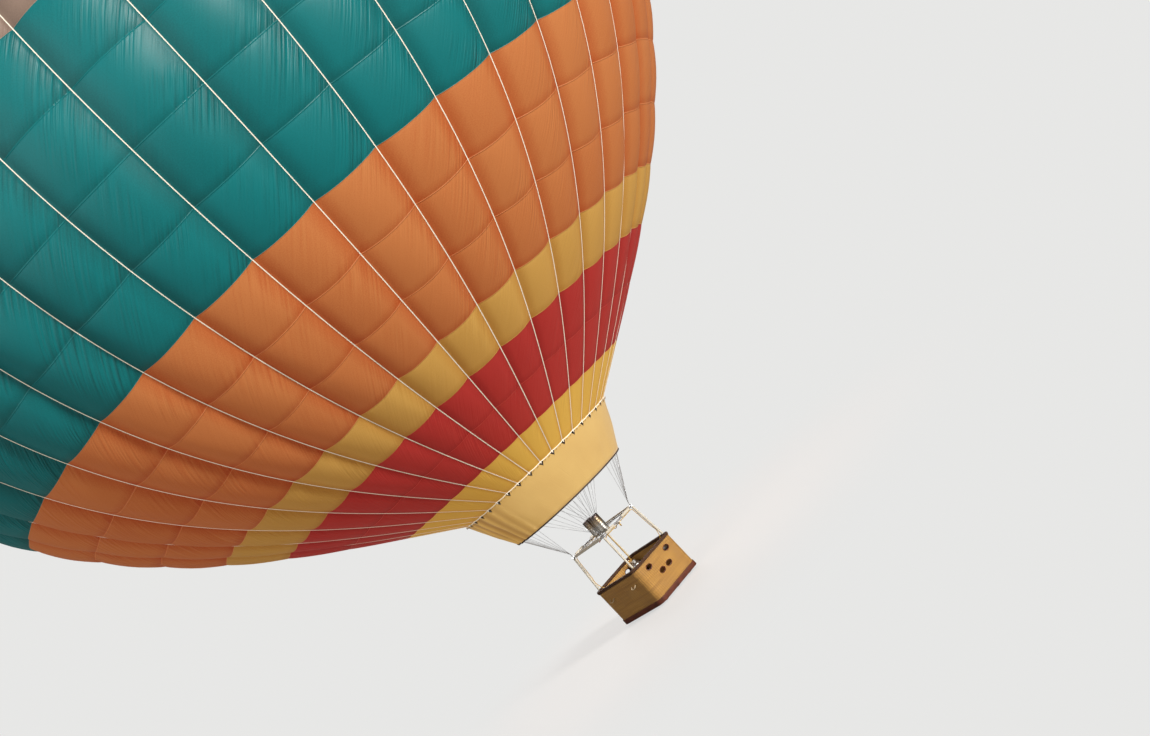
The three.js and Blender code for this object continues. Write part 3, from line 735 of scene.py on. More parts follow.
def rounded_section(inside, outside, low, high, round_by, steps=4):
    """The outline of a rectangle with rounded corners, from its outside low corner upwards."""
    inside, outside, low, high = inside + round_by, outside - round_by, low + round_by, high - round_by
    outline = []
    for quarter, a, b in ((-1, outside, low), (0, outside, high), (1, inside, high), (2, inside, low)):
        turn = quarter * math.pi / 2 + np.linspace(0, math.pi / 2, steps)
        outline.append(over(a + round_by * np.cos(turn), b + round_by * np.sin(turn)))
    return np.vstack(outline)


# Hub patch. Two rings of the same webbing cloth, the smaller one on the larger. They are sewn over
# the tapes' ends, where these meet round the crown ring.
HUB_ROUND = 0.003
HUB_RINGS = ((HUB_HOLE, HUB_RADIUS, -0.006, 0.0015), (0.128, 0.190, -0.004, 0.0045))
crown_top = float(walk_height[-1])
parts = []
for inside, outside, low, high in HUB_RINGS:
    ring = rounded_section(inside, outside, crown_top + low, crown_top + high, HUB_ROUND)
    parts.append(lathe(ring, 80))
piece("hub_patch", parts, webbing)

# Vent lid. A loose disc of yellow nylon that the hot air holds shut against the crown tapes. Its
# cloth is cut in gores, and it wrinkles because nothing stretches it but air.
LID_DEPTH = 0.024
LID_THICK = 0.008
LID_SWELL = 0.014
LID_WRINKLE = 0.003
LID_ROW = 19.8
LID_ROWS = 20
LID_COLUMNS = 5
LID_CENTRE = 0.115
lid_rows = np.linspace(LID_ROW, CROWN_ROW - 0.06, LID_ROWS)
lid_turn = around(GORES * LID_COLUMNS)[:, None]
lid_radius, lid_height, lid_lean = tape_line(lid_rows)
swelling = 0.5 - 0.5 * np.cos((lid_turn * GORES / 2 / math.pi - 0.5) * 2 * math.pi)
lid_drop = LID_DEPTH - LID_SWELL * swelling * (lid_radius / lid_radius[0])
lid_drop = lid_drop + LID_WRINKLE * np.sin(lid_turn * 23) * np.sin(lid_rows * 9)


def lid_points(depth):
    """The lid's points at a depth below its upper face."""
    radius = lid_radius - np.cos(lid_lean) * (lid_drop + depth)
    height = lid_height + np.sin(lid_lean) * (lid_drop + depth)
    return over(radius * np.cos(lid_turn), radius * np.sin(lid_turn), height)


lid_uv = over(np.arange(GORES * LID_COLUMNS + 1)[:, None] / LID_COLUMNS + 0.5, lid_rows)
lid_outer = lid_points(0.0)
rim_z = lid_outer[:, -1].mean(axis=0)[2]
patch = rounded_section(0.001, LID_CENTRE, rim_z - 0.009, rim_z + 0.001, 0.004)
parts = [shell(lid_outer, lid_points(LID_THICK), lid_uv, wrap=True), lathe(patch, 48)]
lid = piece("vent_lid_cloth", parts, cloths["fabric_yellow"], ["vent_lid"], body="vent")

# Crown ring. Cast aluminium, bright and a little scratched. It gathers the crown tapes, whose ends
# are sewn round it.
CROWN_SCUFFS = (0.66, 0.67, 0.68), (0.42, 0.43, 0.44), 9.0, 0.9, 0.0008
crown_metal = scratched("crown_metal", (0.62, 0.63, 0.64), 0.3, *CROWN_SCUFFS, Metallic=1.0)


def dress(node, finish):
    """Gives a CAD node that stays its own finish."""
    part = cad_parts[node]
    part.data.materials.clear()
    part.data.materials.append(finish)
    for face in part.data.polygons:
        face.material_index = 0


dress("crown_ring", crown_metal)

# Mouth hem. The last row of cloth is folded over a pale webbing tape and sewn down, so it makes a
# roll that follows the gores' bulges.
HEM_HALF_THICK = 0.007
HEM_HALF = 0.011
HEM_DROP = 0.014
HEM_STEPS = 12
hem_gores = np.arange(GORES * HEM_STEPS) / HEM_STEPS
hem_path = gore_surface(hem_gores, np.zeros_like(hem_gores)) - UP * HEM_DROP
hem_roll = tube(hem_path, HEM_HALF_THICK, 8, closed=True, flat=HEM_HALF / HEM_HALF_THICK)
piece("mouth_hem_roll", [hem_roll], webbing, ["mouth_hem"])

# Skirt. A cone of heat-proof cloth toggled to the mouth hem between the tapes, so a dark three-
# cornered gap stays open at each tape. It hangs in soft flutes, and a dark tape binds its foot.
# Its colour has painted shade in the slack folds on one side, and a painted glow.
SKIRT_FOOT_RADIUS = 1.742
SKIRT_TOP_Z = MOUTH_Z - 0.020
SKIRT_FOOT_Z = -12.886
SKIRT_ROWS = 18
SKIRT_LENGTH = 1.26
NOTCH_HALF = 0.078
NOTCH_DROP = 0.110
SKIRT_THICK = 0.006
SKIRT_BELLY = 0.018
SKIRT_HEM_TUBE = 0.006
SKIRT_HEM_FLAT = 3.4
SKIRT_HEM_DROP = 0.016
FLUTES = ((0.005, 13, 1.0), (0.004, 29, 2.2))
SLACK_TURN = math.radians(262)
SLACK_HALF = 0.42
SLACK_FOLDS = 21.0
SLACK_DRIFT = 0.07
SLACK_REACH = 0.036

skirt_cloth, tree, shader = new_finish("skirt_cloth", (0.70, 0.48, 0.20), 0.8, Sheen_Weight=0.3)
panel, pulled = pulled_cloth(tree, 0.5, 0.6)
stain = noise(tree, on_object(tree), 1.3, 4.0)
share = maths(tree, "SUBTRACT", scaled(tree, stain, 0.8, pulled["Weave"]), 0.15, clamp=True)
cloth = mixed(tree, share, (0.38, 0.285, 0.125), (0.34, 0.235, 0.095))
split = add(tree, "SeparateXYZ", {0: panel}).outputs
turn = maths(tree, "MULTIPLY", maths(tree, "ADD", split["X"], 0.5), 2 * math.pi / GORES)
drift = maths(tree, "ADD", turn, maths(tree, "MULTIPLY", split["Y"], SLACK_DRIFT / SKIRT_LENGTH))
# Painted shade in the valleys of the slack folds.
fold_shade = maths(tree, "SINE", maths(tree, "MULTIPLY", drift, SLACK_FOLDS))
fold_shade = maths(tree, "POWER", maths(tree, "ABSOLUTE", fold_shade), 1.6)
from_slack = maths(tree, "ABSOLUTE", maths(tree, "SUBTRACT", turn, SLACK_TURN))
slack = maths(tree, "SUBTRACT", 1.35, maths(tree, "DIVIDE", from_slack, SLACK_HALF), clamp=True)
fold_shade = maths(tree, "MULTIPLY", maths(tree, "MULTIPLY", fold_shade, slack), 0.62)
cloth = mixed(tree, fold_shade, cloth, (0.215, 0.125, 0.040))
painted(tree, shader, cloth, stain, 0.2, 0.7)
# Painted glow.
glow_through(tree, shader, cloth, 2.7)
bumped(tree, shader, pulled["Height"], 0.022, 0.6)

top_radius = tape_line(np.array([0.0]))[0][0]
gore_width = 2 * top_radius * math.sin(math.pi / GORES)
notch_share = NOTCH_HALF / gore_width
inside_notches = np.linspace(notch_share, 1 - notch_share, 9)
skirt_across = np.concatenate([[0, notch_share / 2], inside_notches, [1 - notch_share / 2]])
skirt_gores = (np.arange(GORES)[:, None] + skirt_across).ravel()[:, None]
to_tape = np.minimum(skirt_gores % 1, 1 - skirt_gores % 1) * gore_width
top_z = SKIRT_TOP_Z - NOTCH_DROP * np.clip(1 - to_tape / NOTCH_HALF, 0, 1)
down = np.linspace(0, 1, SKIRT_ROWS)
skirt_turn = tape_turn(skirt_gores)
skirt_slope = (top_radius - 0.002 - SKIRT_FOOT_RADIUS) / (SKIRT_TOP_Z - SKIRT_FOOT_Z)
flute = sum(reach * np.sin(skirt_turn * count + start) for reach, count, start in FLUTES)
from_slack = np.abs((skirt_turn - SLACK_TURN + math.pi) % (2 * math.pi) - math.pi)
slack = SLACK_REACH * np.clip(1.3 - from_slack / SLACK_HALF, 0, 1)


def skirt_points(inset):
    """The skirt's points: a cone whose radius follows the height, a belly, flutes and slack folds."""
    height = top_z * (1 - down) + SKIRT_FOOT_Z * down
    level = (SKIRT_TOP_Z - height) / (SKIRT_TOP_Z - SKIRT_FOOT_Z)
    radius = SKIRT_FOOT_RADIUS + (height - SKIRT_FOOT_Z) * skirt_slope - inset
    radius = radius + SKIRT_BELLY * np.sin(math.pi * level) + flute * (0.12 + 0.80 * level**1.5)
    radius = radius + 0.006 * np.sin(skirt_turn * 9 + 3.0) * np.sin(level * 9)
    drift = skirt_turn + SLACK_DRIFT * level + 0.01 * np.sin(level * 7)
    crumple = 1 - 2 * np.abs(np.sin(SLACK_FOLDS * drift)) + 0.5 * np.sin(31 * drift + 2.0)
    radius = radius + slack * crumple * (0.15 + 0.7 * np.sqrt(np.clip(level, 0, 1)))
    return over(radius * np.cos(skirt_turn), radius * np.sin(skirt_turn), height)


skirt_outer, skirt_inner = skirt_points(0.0), skirt_points(SKIRT_THICK)
skirt_uv = over(np.append(skirt_gores, GORES)[:, None], down * SKIRT_LENGTH)
skirt_shell = shell(skirt_outer[:, ::-1], skirt_inner[:, ::-1], skirt_uv[:, ::-1], wrap=True)
skirt = piece("skirt_cloth", [skirt_shell], skirt_cloth, ["skirt"])
hem_cloth, tree, shader = new_finish("hem_cloth", (0.055, 0.035, 0.026), 0.8)
rib = wave(tree, on_cloth(tree), 40.0)
patterned(tree, shader, rib, ((0.075, 0.048, 0.036), (0.035, 0.022, 0.017)), 0.2, 0.65, 0.001)
foot_path = (skirt_outer[:, -1] + skirt_inner[:, -1]) / 2 - UP * SKIRT_HEM_DROP
foot_tape = tube(foot_path, SKIRT_HEM_TUBE, 8, closed=True, flat=SKIRT_HEM_FLAT)
skirt_hem = piece("skirt_hem_tape", [foot_tape], hem_cloth, ["skirt_hem"])

# Throat tape. A dark band of the hem cloth set in behind the mouth hem and the skirt's top. It is
# painted shade: it shows in the three-cornered gaps beside the load tapes, dark as the envelope's
# shaded inside.
THROAT_SETBACK = 0.022
THROAT_THICK = 0.003
throat_z = np.array([SKIRT_TOP_Z - NOTCH_DROP - 0.02, SKIRT_TOP_Z + 0.004])
throat_out = SKIRT_FOOT_RADIUS + (throat_z - SKIRT_FOOT_Z) * skirt_slope - THROAT_SETBACK
throat = over(np.append(throat_out, throat_out[::-1] - THROAT_THICK), np.append(throat_z, throat_z[::-1]))
piece("throat_tape", [lathe(throat, 160)], hem_cloth)

# Toggles. Small pale wooden pegs, two to a gore, pushed through loops of cord. They hold the skirt
# up to the mouth hem.
TOGGLE_PLACES = (0.32, 0.68)
TOGGLE_HALF = 0.022
TOGGLE_RADII = (0.004, 0.0065, 0.007, 0.0065, 0.004)
TOGGLE_OUT = 0.014
TOGGLE_DROP = 0.052
TOGGLE_CORD = 0.0022
LOOP_TALL = 0.020
LOOP_WIDE = 0.009
LOOP_UP = 0.008
LOOP_IN = 0.002
TOGGLE_SCUFFS = (0.50, 0.32, 0.14), (0.30, 0.17, 0.07), 60.0, 1.2, 0.0005
toggle_wood = scratched("toggle_wood", (0.45, 0.28, 0.12), 0.5, *TOGGLE_SCUFFS)
turn = around(10)[:, None]
parts = []
for place in (gore + across for gore in range(GORES) for across in TOGGLE_PLACES):
    centre = gore_surface(np.array([place]), np.array([0.0]))[0]
    outward, beside = facing(math.atan2(centre[1], centre[0]))
    centre = centre + outward * TOGGLE_OUT - UP * TOGGLE_DROP
    peg = np.linspace(-TOGGLE_HALF, TOGGLE_HALF, 5)[:, None] * beside + centre
    loop = centre + LOOP_TALL * np.sin(turn) * UP
    loop = loop + (LOOP_WIDE * np.cos(turn) - LOOP_IN) * outward + UP * LOOP_UP
    parts += [tube(peg, TOGGLE_RADII, 7), tube(loop, TOGGLE_CORD, 5, beside, closed=True)]
piece("skirt_toggles", parts, toggle_wood)

# Flying wires. Stranded steel, ten to each corner of the load frame, from a ring at every tape's
# foot down to one karabiner. Both ends of a wire are pressed into a ferrule.
WIRE_RADIUS = 0.0035
FERRULE = 0.0065
WIRE_RING = 0.016
WIRE_TOP_RADIUS = 2.288
WIRE_TOP_DROP = 0.040
WIRE_FROM_TOP = (0.0, 0.05, 0.055)
WIRE_FROM_FOOT = np.array([0.075, 0.07, 0.022])
EYE_BEYOND = 0.012
TAPE_LOOP_RADIUS = 2.370
TAPE_LOOP_UP = 0.004
KARABINER_TOP = 0.088
wire_steel, tree, shader = new_finish("wire_steel", (0.42, 0.43, 0.45), 0.35, Metallic=1.0)
lay = wave(tree, stretched(tree, on_cloth(tree), (3.0, 160.0, 1)), 1.0, "DIAGONAL")
patterned(tree, shader, lay, ((0.50, 0.51, 0.53), (0.36, 0.37, 0.39)), 0.2, 0.35, 0.0002, 0.6)

widths = (FERRULE, FERRULE, WIRE_RADIUS, WIRE_RADIUS, WIRE_RADIUS, FERRULE, FERRULE)
turn = around(16)[:, None]
lug = {name: upright_head * (x, y, 0) + UP * frame_box[1][2] for name, x, y in CORNERS}
for name, x, y in CORNERS:
    parts = []
    for tape in range(GORES):
        outward, beside = facing(tape_turn(tape))
        if outward[0] * x <= 0 or outward[1] * y <= 0:
            continue
        top = outward * WIRE_TOP_RADIUS + UP * (HEM_FOOT - WIRE_TOP_DROP)
        way = lug[name] + UP * KARABINER_TOP - top
        reach = np.linalg.norm(way)
        way = way / reach
        stops = np.array([*WIRE_FROM_TOP, reach / 2, *(reach - WIRE_FROM_FOOT)])
        parts.append(tube(top + stops[:, None] * way, widths, 8))
        eye = top - way * EYE_BEYOND
        ring = eye + WIRE_RING * (np.cos(turn) * way + np.sin(turn) * beside)
        parts.append(tube(ring, WIRE_RADIUS, 6, outward, closed=True))
        tape_foot = outward * TAPE_LOOP_RADIUS + UP * (TAPE_FOOT + TAPE_LOOP_UP)
        inwards = (eye - tape_foot) / np.linalg.norm(eye - tape_foot)
        reach = np.linalg.norm(eye - tape_foot) / 2 + WIRE_RING / 2
        ring = (tape_foot + eye) / 2 + reach * np.cos(turn) * inwards + WIRE_RING * np.sin(turn) * beside
        parts.append(tube(ring, WIRE_RADIUS, 6, np.cross(inwards, beside), closed=True))
    piece(f"wires_{name}", parts, wire_steel, [f"flying_wires_{name}"])

# Load frame. Stainless tube bent to a rounded rectangle, with a lug plate in each corner for the
# karabiners, and pale padded sleeves laced round its straight sides.
FRAME_CORNER = 0.090
LUG_HALF = 0.042
LUG_THICK = 0.008
LUG_CORNER = 0.014
LUG_INSET = 0.012
TUBE_TRIM = 0.0015
BOSS_ENDS = (-0.030, 0.020)
BOSS_RADIUS = 0.024
KARABINER_TUBE = 0.0065
KARABINER_HALF = (0.026, 0.046)
KARABINER_UP = 0.050
LOCK_UP = (0.035, 0.040, 0.062, 0.067)
LOCK_RADII = (0.0095, 0.011, 0.011, 0.0095)
frame_steel, tree, shader = new_finish("frame_steel", (0.55, 0.56, 0.57), 0.32, Metallic=1.0)
scuffed(tree, shader, (0.60, 0.61, 0.62), (0.42, 0.42, 0.43), 0.40, 5.0, 0.7)
bumped(tree, shader, noise(tree, stretched(tree, on_cloth(tree), (16.0, 6.0, 1)), 1.0, 1.0), 0.0001, 0.3)


def rounded_outline(half_a, half_b, corner, centre=(0, 0), steps=5):
    """The outline of a rectangle with rounded corners, round a centre, from its upper right corner."""
    a, b = centre
    outline = rounded_section(a - half_a, a + half_a, b - half_b, b + half_b, corner, steps)
    return np.roll(outline, -steps, axis=0)


def rounded_loop(half_x, half_y, corner, z, arc_steps=8, side_steps=6):
    """Points round a rounded rectangle at one height, with each side divided into equal steps."""
    arcs = rounded_outline(half_x, half_y, corner, steps=arc_steps).reshape(4, arc_steps, 2)
    share = (np.arange(1, side_steps) / side_steps)[:, None]
    line = np.vstack([[*arcs[k], *(arcs[k][-1] + (arcs[k - 3][0] - arcs[k][-1]) * share)] for k in range(4)])
    return np.column_stack([line, np.full(len(line), z)])


def plate(outline, low, high):
    """A flat plate between two heights, with an outline of points."""
    ring = np.arange(len(outline))
    after = np.roll(ring, -1)
    points = np.vstack([over(*outline.T, z) for z in (low, high)])
    sides = np.stack([ring, after, after + len(ring), ring + len(ring)], axis=1)
    return points, [untextured(faces) for faces in (sides, ring[None, ::-1], ring[None] + len(ring))]


def pivot_bars(axis, sides, *bars):
    """Round bars at the pivots' height along an axis, on both sides, from start, end and radius."""
    parts = []
    for way, (start, end, radius) in ((way, bar) for way in (-1, 1) for bar in bars):
        ends = np.zeros((2, 3))
        ends[:, axis] = sorted((way * start, way * end))
        ends[:, 2] = pivot_z
        parts.append(tube(ends, radius, sides))
    return parts


frame_line = rounded_loop(frame_x, frame_y, FRAME_CORNER, pivot_z)
parts = [tube(frame_line, FRAME_TUBE - TUBE_TRIM, 20, closed=True)]
for name, x, y in CORNERS:
    centre = (x * (frame_x - LUG_INSET), y * (frame_y - LUG_INSET))
    outline = rounded_outline(LUG_HALF, LUG_HALF, LUG_CORNER, centre)
    parts.append(plate(outline, frame_box[1][2] - LUG_THICK, frame_box[1][2]))
    parts.append(plate(outline, frame_box[0][2], frame_box[0][2] + LUG_THICK))
parts += pivot_bars(0, 20, (frame_x + BOSS_ENDS[0], frame_x + BOSS_ENDS[1], BOSS_RADIUS))
piece("load_frame_tube", parts, frame_steel, ["load_frame"])

turn = around(28)[:, None]
wide, tall = KARABINER_HALF
for name, x, y in CORNERS:
    across = unit(np.array([y, -x, 0.0]))
    link = lug[name] + UP * KARABINER_UP + wide * np.cos(turn) * across
    link = link + tall * np.sign(np.sin(turn)) * np.abs(np.sin(turn)) ** 0.7 * UP
    lock = lug[name] + wide * across + UP * np.array(LOCK_UP)[:, None]
    parts = [
        tube(link, KARABINER_TUBE, 12, unit(np.array([x, y, 0.0])), closed=True),
        tube(lock, LOCK_RADII, 12, across),
    ]
    piece(f"karabiner_{name}", parts, frame_steel)

sleeve_cloth, tree, shader = new_finish("sleeve", (0.66, 0.62, 0.52), 0.8, Sheen_Weight=0.1)
shader.inputs["Specular IOR Level"].default_value = 0.3
strip = on_cloth(tree)
soiled = noise(tree, on_object(tree), 6.0, 5.0)
wrinkles = noise(tree, stretched(tree, strip, (2.2, 26.0, 1)), 1.0, 3.0)
split = add(tree, "SeparateXYZ", {0: strip}).outputs
from_seam = maths(tree, "ABSOLUTE", maths(tree, "SUBTRACT", split["X"], 0.5))
seam = maths(tree, "MULTIPLY", maths(tree, "LESS_THAN", from_seam, 0.022), 0.5)
canvas = mixed(tree, scaled(tree, soiled, 0.9, -0.2, clamp=True), (0.70, 0.66, 0.56), (0.47, 0.42, 0.33))
painted(tree, shader, mixed(tree, seam, canvas, (0.30, 0.26, 0.20)), soiled, 0.25, 0.65)
bumped(tree, shader, scaled(tree, wave(tree, strip, 130.0), 0.02, wrinkles), 0.004, 0.6)


SLEEVE_RADIUS = 0.040
SLEEVE_STEP = 0.16
SLEEVE_WAIST = 0.07
SLEEVE_CLOSING = 0.020
SLEEVE_FROM_CORNER = 0.12
SLEEVE_FROM_PIN = 0.16


def padded_sleeve(name, start, end, radius, stands_for=(), reference=(0.1, 0.2, 1.0)):
    """A stuffed sleeve: a tube that swells and narrows between its lacings, and closes at its ends."""
    start, end = np.array(start, float), np.array(end, float)
    share = np.linspace(0, 1, 49)
    length = np.linalg.norm(end - start)
    lacings = max(2, round(length / SLEEVE_STEP))
    swell = 1 - SLEEVE_WAIST * np.abs(np.cos(math.pi * lacings * share)) ** 6
    close = np.clip(np.minimum(share, 1 - share) * length / SLEEVE_CLOSING, 0.06, 1) ** 0.5
    line = start + (end - start) * share[:, None]
    parts = [tube(line, radius * swell * close, 16, reference)]
    piece(name, parts, sleeve_cloth, stands_for)


long_end, short_end = frame_x - SLEEVE_FROM_CORNER, frame_y - SLEEVE_FROM_CORNER
short_start = SLEEVE_FROM_PIN
for side_name, (x, y), (end_x, end_y) in (
    ("front", (-long_end, -frame_y), (long_end, -frame_y)),
    ("rear", (-long_end, frame_y), (long_end, frame_y)),
    ("right_front", (frame_x, -short_start), (frame_x, -short_end)),
    ("right_rear", (frame_x, short_start), (frame_x, short_end)),
    ("left_front", (-frame_x, -short_start), (-frame_x, -short_end)),
    ("left_rear", (-frame_x, short_start), (-frame_x, short_end)),
):
    padded_sleeve(f"frame_sleeve_{side_name}", (x, y, pivot_z), (end_x, end_y, pivot_z), SLEEVE_RADIUS)

# Hose fittings. Hexagonal brass tees clamped to the load frame, and brass unions on the gimbal
# ring. The hose ends are screwed into them.
TEE_STOPS = (-0.118, -0.10, -0.098, 0.098, 0.10, 0.118)
TEE_RADII = (0.0125, 0.0125, 0.0105, 0.0105, 0.0125, 0.0125)
BRANCH_LENGTH = 0.017
BRANCH_RADIUS = 0.012
UNION_ENDS = (0.008, 0.032)
UNION_RADIUS = 0.0125
STUB_LENGTH = 0.024
STUB_RADIUS = 0.011
ACROSS = (1, 0, 0)
BRASS_SCUFFS = (0.58, 0.40, 0.13), (0.28, 0.17, 0.06), 40.0, 1.2, 0.0004
brass = scratched("brass_fittings", (0.55, 0.38, 0.12), 0.3, *BRASS_SCUFFS, Metallic=1.0)
for side_name, x in (("right", 1), ("left", -1)):
    run = tube([(x * frame_x, y, TEE_Z) for y in TEE_STOPS], TEE_RADII, 6)
    branch = [(x * frame_x, 0, TEE_Z - down) for down in (0, BRANCH_LENGTH)]
    parts = [run, tube(branch, BRANCH_RADIUS, 6, ACROSS)]
    piece(f"frame_tee_{side_name}", parts, brass)
    union = [(x * GIMBAL_X, UNION_Y, TEE_Z + up) for up in UNION_ENDS]
    stub = [(x * across, UNION_Y, TEE_Z + UNION_UP) for across in (GIMBAL_X - STUB_LENGTH, GIMBAL_X)]
    parts = [tube(union, UNION_RADIUS, 6, ACROSS), tube(stub, STUB_RADIUS, 6)]
    piece(f"gimbal_union_{side_name}", parts, brass, body="gimbal")

# Gimbal ring. Thinner tube inside the load frame, hung on two pins along X, so that the burner can
# be tipped both ways.
GIMBAL_Y = 0.510
GIMBAL_CORNER = 0.075
GIMBAL_TUBE = 0.0145
PIN_RADIUS = 0.0105
PIN_REACH = (0.012, 0.018)
COLLAR = 0.019
COLLAR_REACH = (0.020, 0.024)
ring_line = rounded_loop(GIMBAL_X, GIMBAL_Y, GIMBAL_CORNER, pivot_z)
pin = (GIMBAL_X - PIN_REACH[0], frame_x + PIN_REACH[1], PIN_RADIUS)
collar = (GIMBAL_X - COLLAR_REACH[0], GIMBAL_X + COLLAR_REACH[1], COLLAR)
parts = [tube(ring_line, GIMBAL_TUBE, 18, closed=True), *pivot_bars(0, 16, pin, collar)]
parts += pivot_bars(1, 16, (GIMBAL_Y - COLLAR_REACH[0], GIMBAL_Y + COLLAR_REACH[0], COLLAR))
piece("gimbal_tube", parts, frame_steel, ["gimbal_ring"], body="gimbal")

# Burner. Two stainless cans stand on a cross bar between two pins. In each can a coil warms the
# fuel. Under it are the valve body, its lever with a red or blue grip, and a pilot light.
CAN_X = 0.16
CAN_RADIUS = 0.140
CAN_HEIGHT = 0.430
CAN_STEPS = 97
CAN_BEADS = 6
CAN_FOOT = ((-0.004, 0), (0, 0.003), (0, 0.012), (-0.002, 0.016))
CAN_LIP = ((-0.002, -0.012), (0, -0.008), (0, -0.003), (-0.003, 0), (-0.006, -0.003), (-0.005, -0.012))
COIL_RADIUS = 0.108
COIL_TUBE = 0.0095
COIL_TURNS = 4
COIL_PITCH = 0.075
BAR = (0.318, 0.058, 0.012)
BAR_HALF = 0.033
SHELF = (0.30, 0.075, 0.02)
SHELF_UP = (0.034, 0.0345)
BURNER_PINS = ((0.050, 0.522, PIN_RADIUS), (0.055, 0.470, (0.0135, 0.0125)))
JET_RADIUS = 0.062
JET_TUBE = 0.008
JET_UP = 0.032
JET_LEGS = (0.0, 2.1, 4.2)
LEG_RADIUS = 0.005
LEG_LENGTH = 0.034
LEG_FOOT = 0.004
PILOT_X = 0.060
PILOT = (((0.030, 0.075), 0.014, 12), ((0.075, 0.090), (0.019, 0.017), 10))
INLET_ENDS = ((0.300, 0.004), (0.328, 0.0055))
INLET_RADIUS = 0.012
VALVE_PROFILE = (
    (0.001, -0.128), (0.024, -0.128), (0.026, -0.124), (0.026, -0.104), (0.036, -0.100),
    (0.038, -0.096), (0.038, -0.066), (0.030, -0.062), (0.030, -0.034), (0.001, -0.034),
)
LEVER_ROUTE = ((-0.020, -0.112), (-0.070, -0.121), (-0.120, -0.136), (-0.172, -0.151))
block_top = pivot_z + 0.035
burner_steel, tree, shader = new_finish("burner_steel", (0.42, 0.39, 0.34), 0.35, Metallic=1.0)
place = on_object(tree)
height = add(tree, "SeparateXYZ", {0: place}).outputs["Z"]
hot_inputs = {"Value": height, "From Min": block_top + 0.12, "From Max": block_top + CAN_HEIGHT}
hot = add(tree, "MapRange", hot_inputs).outputs[0]
blotch = noise(tree, place, 16.0, 4.0)
tint = maths(tree, "SUBTRACT", scaled(tree, blotch, 0.7, hot), 0.35, clamp=True)
blued = add(tree, "ValToRGB", {0: tint})
blued.color_ramp.elements[0].color = (0.52, 0.51, 0.49, 1)
blued.color_ramp.elements[1].color = (0.11, 0.09, 0.10, 1)
blued.color_ramp.elements.new(0.45).color = (0.42, 0.31, 0.19, 1)
painted(tree, shader, blued.outputs[0], blotch, 0.3, 0.22)
bumped(tree, shader, blotch, 0.001, 0.5)

parts = [
    plate(rounded_outline(*BAR), pivot_z - BAR_HALF, pivot_z + BAR_HALF),
    plate(rounded_outline(*SHELF), *(pivot_z + up for up in SHELF_UP)),
    *pivot_bars(1, 16, *BURNER_PINS),
]
turn = around(30)
for x in (-CAN_X, CAN_X):
    parts.append(lathe(VALVE_PROFILE, 24, (x, 0, pivot_z)))
    for drops, radius, sides in PILOT:
        line = [(x + PILOT_X, INLET[1], pivot_z - drop) for drop in drops]
        parts.append(tube(line, radius, sides, ACROSS))
    line = [(np.sign(x) * out, INLET[1], pivot_z - drop) for out, drop in INLET_ENDS]
    parts.append(tube(line, INLET_RADIUS, 6))
    jets = over(x + JET_RADIUS * np.cos(turn), JET_RADIUS * np.sin(turn), block_top + JET_UP)
    parts.append(tube(jets, JET_TUBE, 8, closed=True))
    for leg in JET_LEGS:
        foot = (x + JET_RADIUS * math.cos(leg), JET_RADIUS * math.sin(leg), block_top - LEG_FOOT)
        parts.append(tube([foot, foot + UP * LEG_LENGTH], LEG_RADIUS, 8, ACROSS))
piece("burner_valves", parts, burner_steel, ["burner_block"], body="burner")

lever_radii = np.where(np.arange(16) < 6, 0.0055, 0.0115)
lever_radii[[6, 15]] = 0.008, 0.009
for side_name, x, colour, dark in (
    ("left", -CAN_X, (0.45, 0.02, 0.02), (0.22, 0.01, 0.01)),
    ("right", CAN_X, (0.02, 0.06, 0.32), (0.01, 0.03, 0.16)),
):
    grip_rubber = scratched(f"grip_rubber_{side_name}", colour, 0.55, colour, dark, 50.0, 1.0, 0.0006)
    lever = curve_through([(x, y, pivot_z + z) for y, z in LEVER_ROUTE], 16)
    parts = [tube(lever, lever_radii, 14, (1, 0, 0.05))]
    piece(f"blast_lever_{side_name}", parts, grip_rubber, body="burner")

low, high = block_top + 0.0003, block_top + CAN_HEIGHT
bead = np.clip(np.cos(np.linspace(0.5, CAN_BEADS + 0.5, CAN_STEPS) * 2 * math.pi), 0, 1) ** 6
wall = over(CAN_RADIUS - 0.0030 + 0.0025 * bead, np.linspace(low + 0.02, high - 0.02, CAN_STEPS))
can_foot = np.array(CAN_FOOT) + (CAN_RADIUS, low)
can_lip = np.array(CAN_LIP) + (CAN_RADIUS, high)
can = np.vstack([can_foot, wall, can_lip, [(CAN_RADIUS - 0.005, low)]])
share = np.linspace(0, 1, COIL_TURNS * 36 + 1)
turn = share * COIL_TURNS * 2 * math.pi
coil_z = block_top + 0.0105 + share * COIL_TURNS * COIL_PITCH
for side_name, x in (("left", -CAN_X), ("right", CAN_X)):
    coil = over(x + COIL_RADIUS * np.cos(turn), COIL_RADIUS * np.sin(turn), coil_z)
    for name, part in (("can", lathe(can, 56, (x, 0, 0))), ("coil", tube(coil, COIL_TUBE, 10))):
        stands_for = [f"burner_{name}_{side_name}"]
        piece(f"{name}_{side_name}", [part], burner_steel, stands_for, body="burner")

# Basket floor and runners. Marine plywood screwed down on three ash battens, which the basket
# lands on, so they are muddy.
floor_ply, tree, shader = new_finish("plywood", (0.40, 0.26, 0.13), 0.6)
grain = noise(tree, stretched(tree, on_object(tree), (1.2, 14.0, 14.0)), 3.0, 6.0, Distortion=0.6)
patterned(tree, shader, grain, ((0.50, 0.34, 0.18), (0.24, 0.14, 0.07)), 0.3, 0.45, 0.0012)
dress("basket_floor", floor_ply)

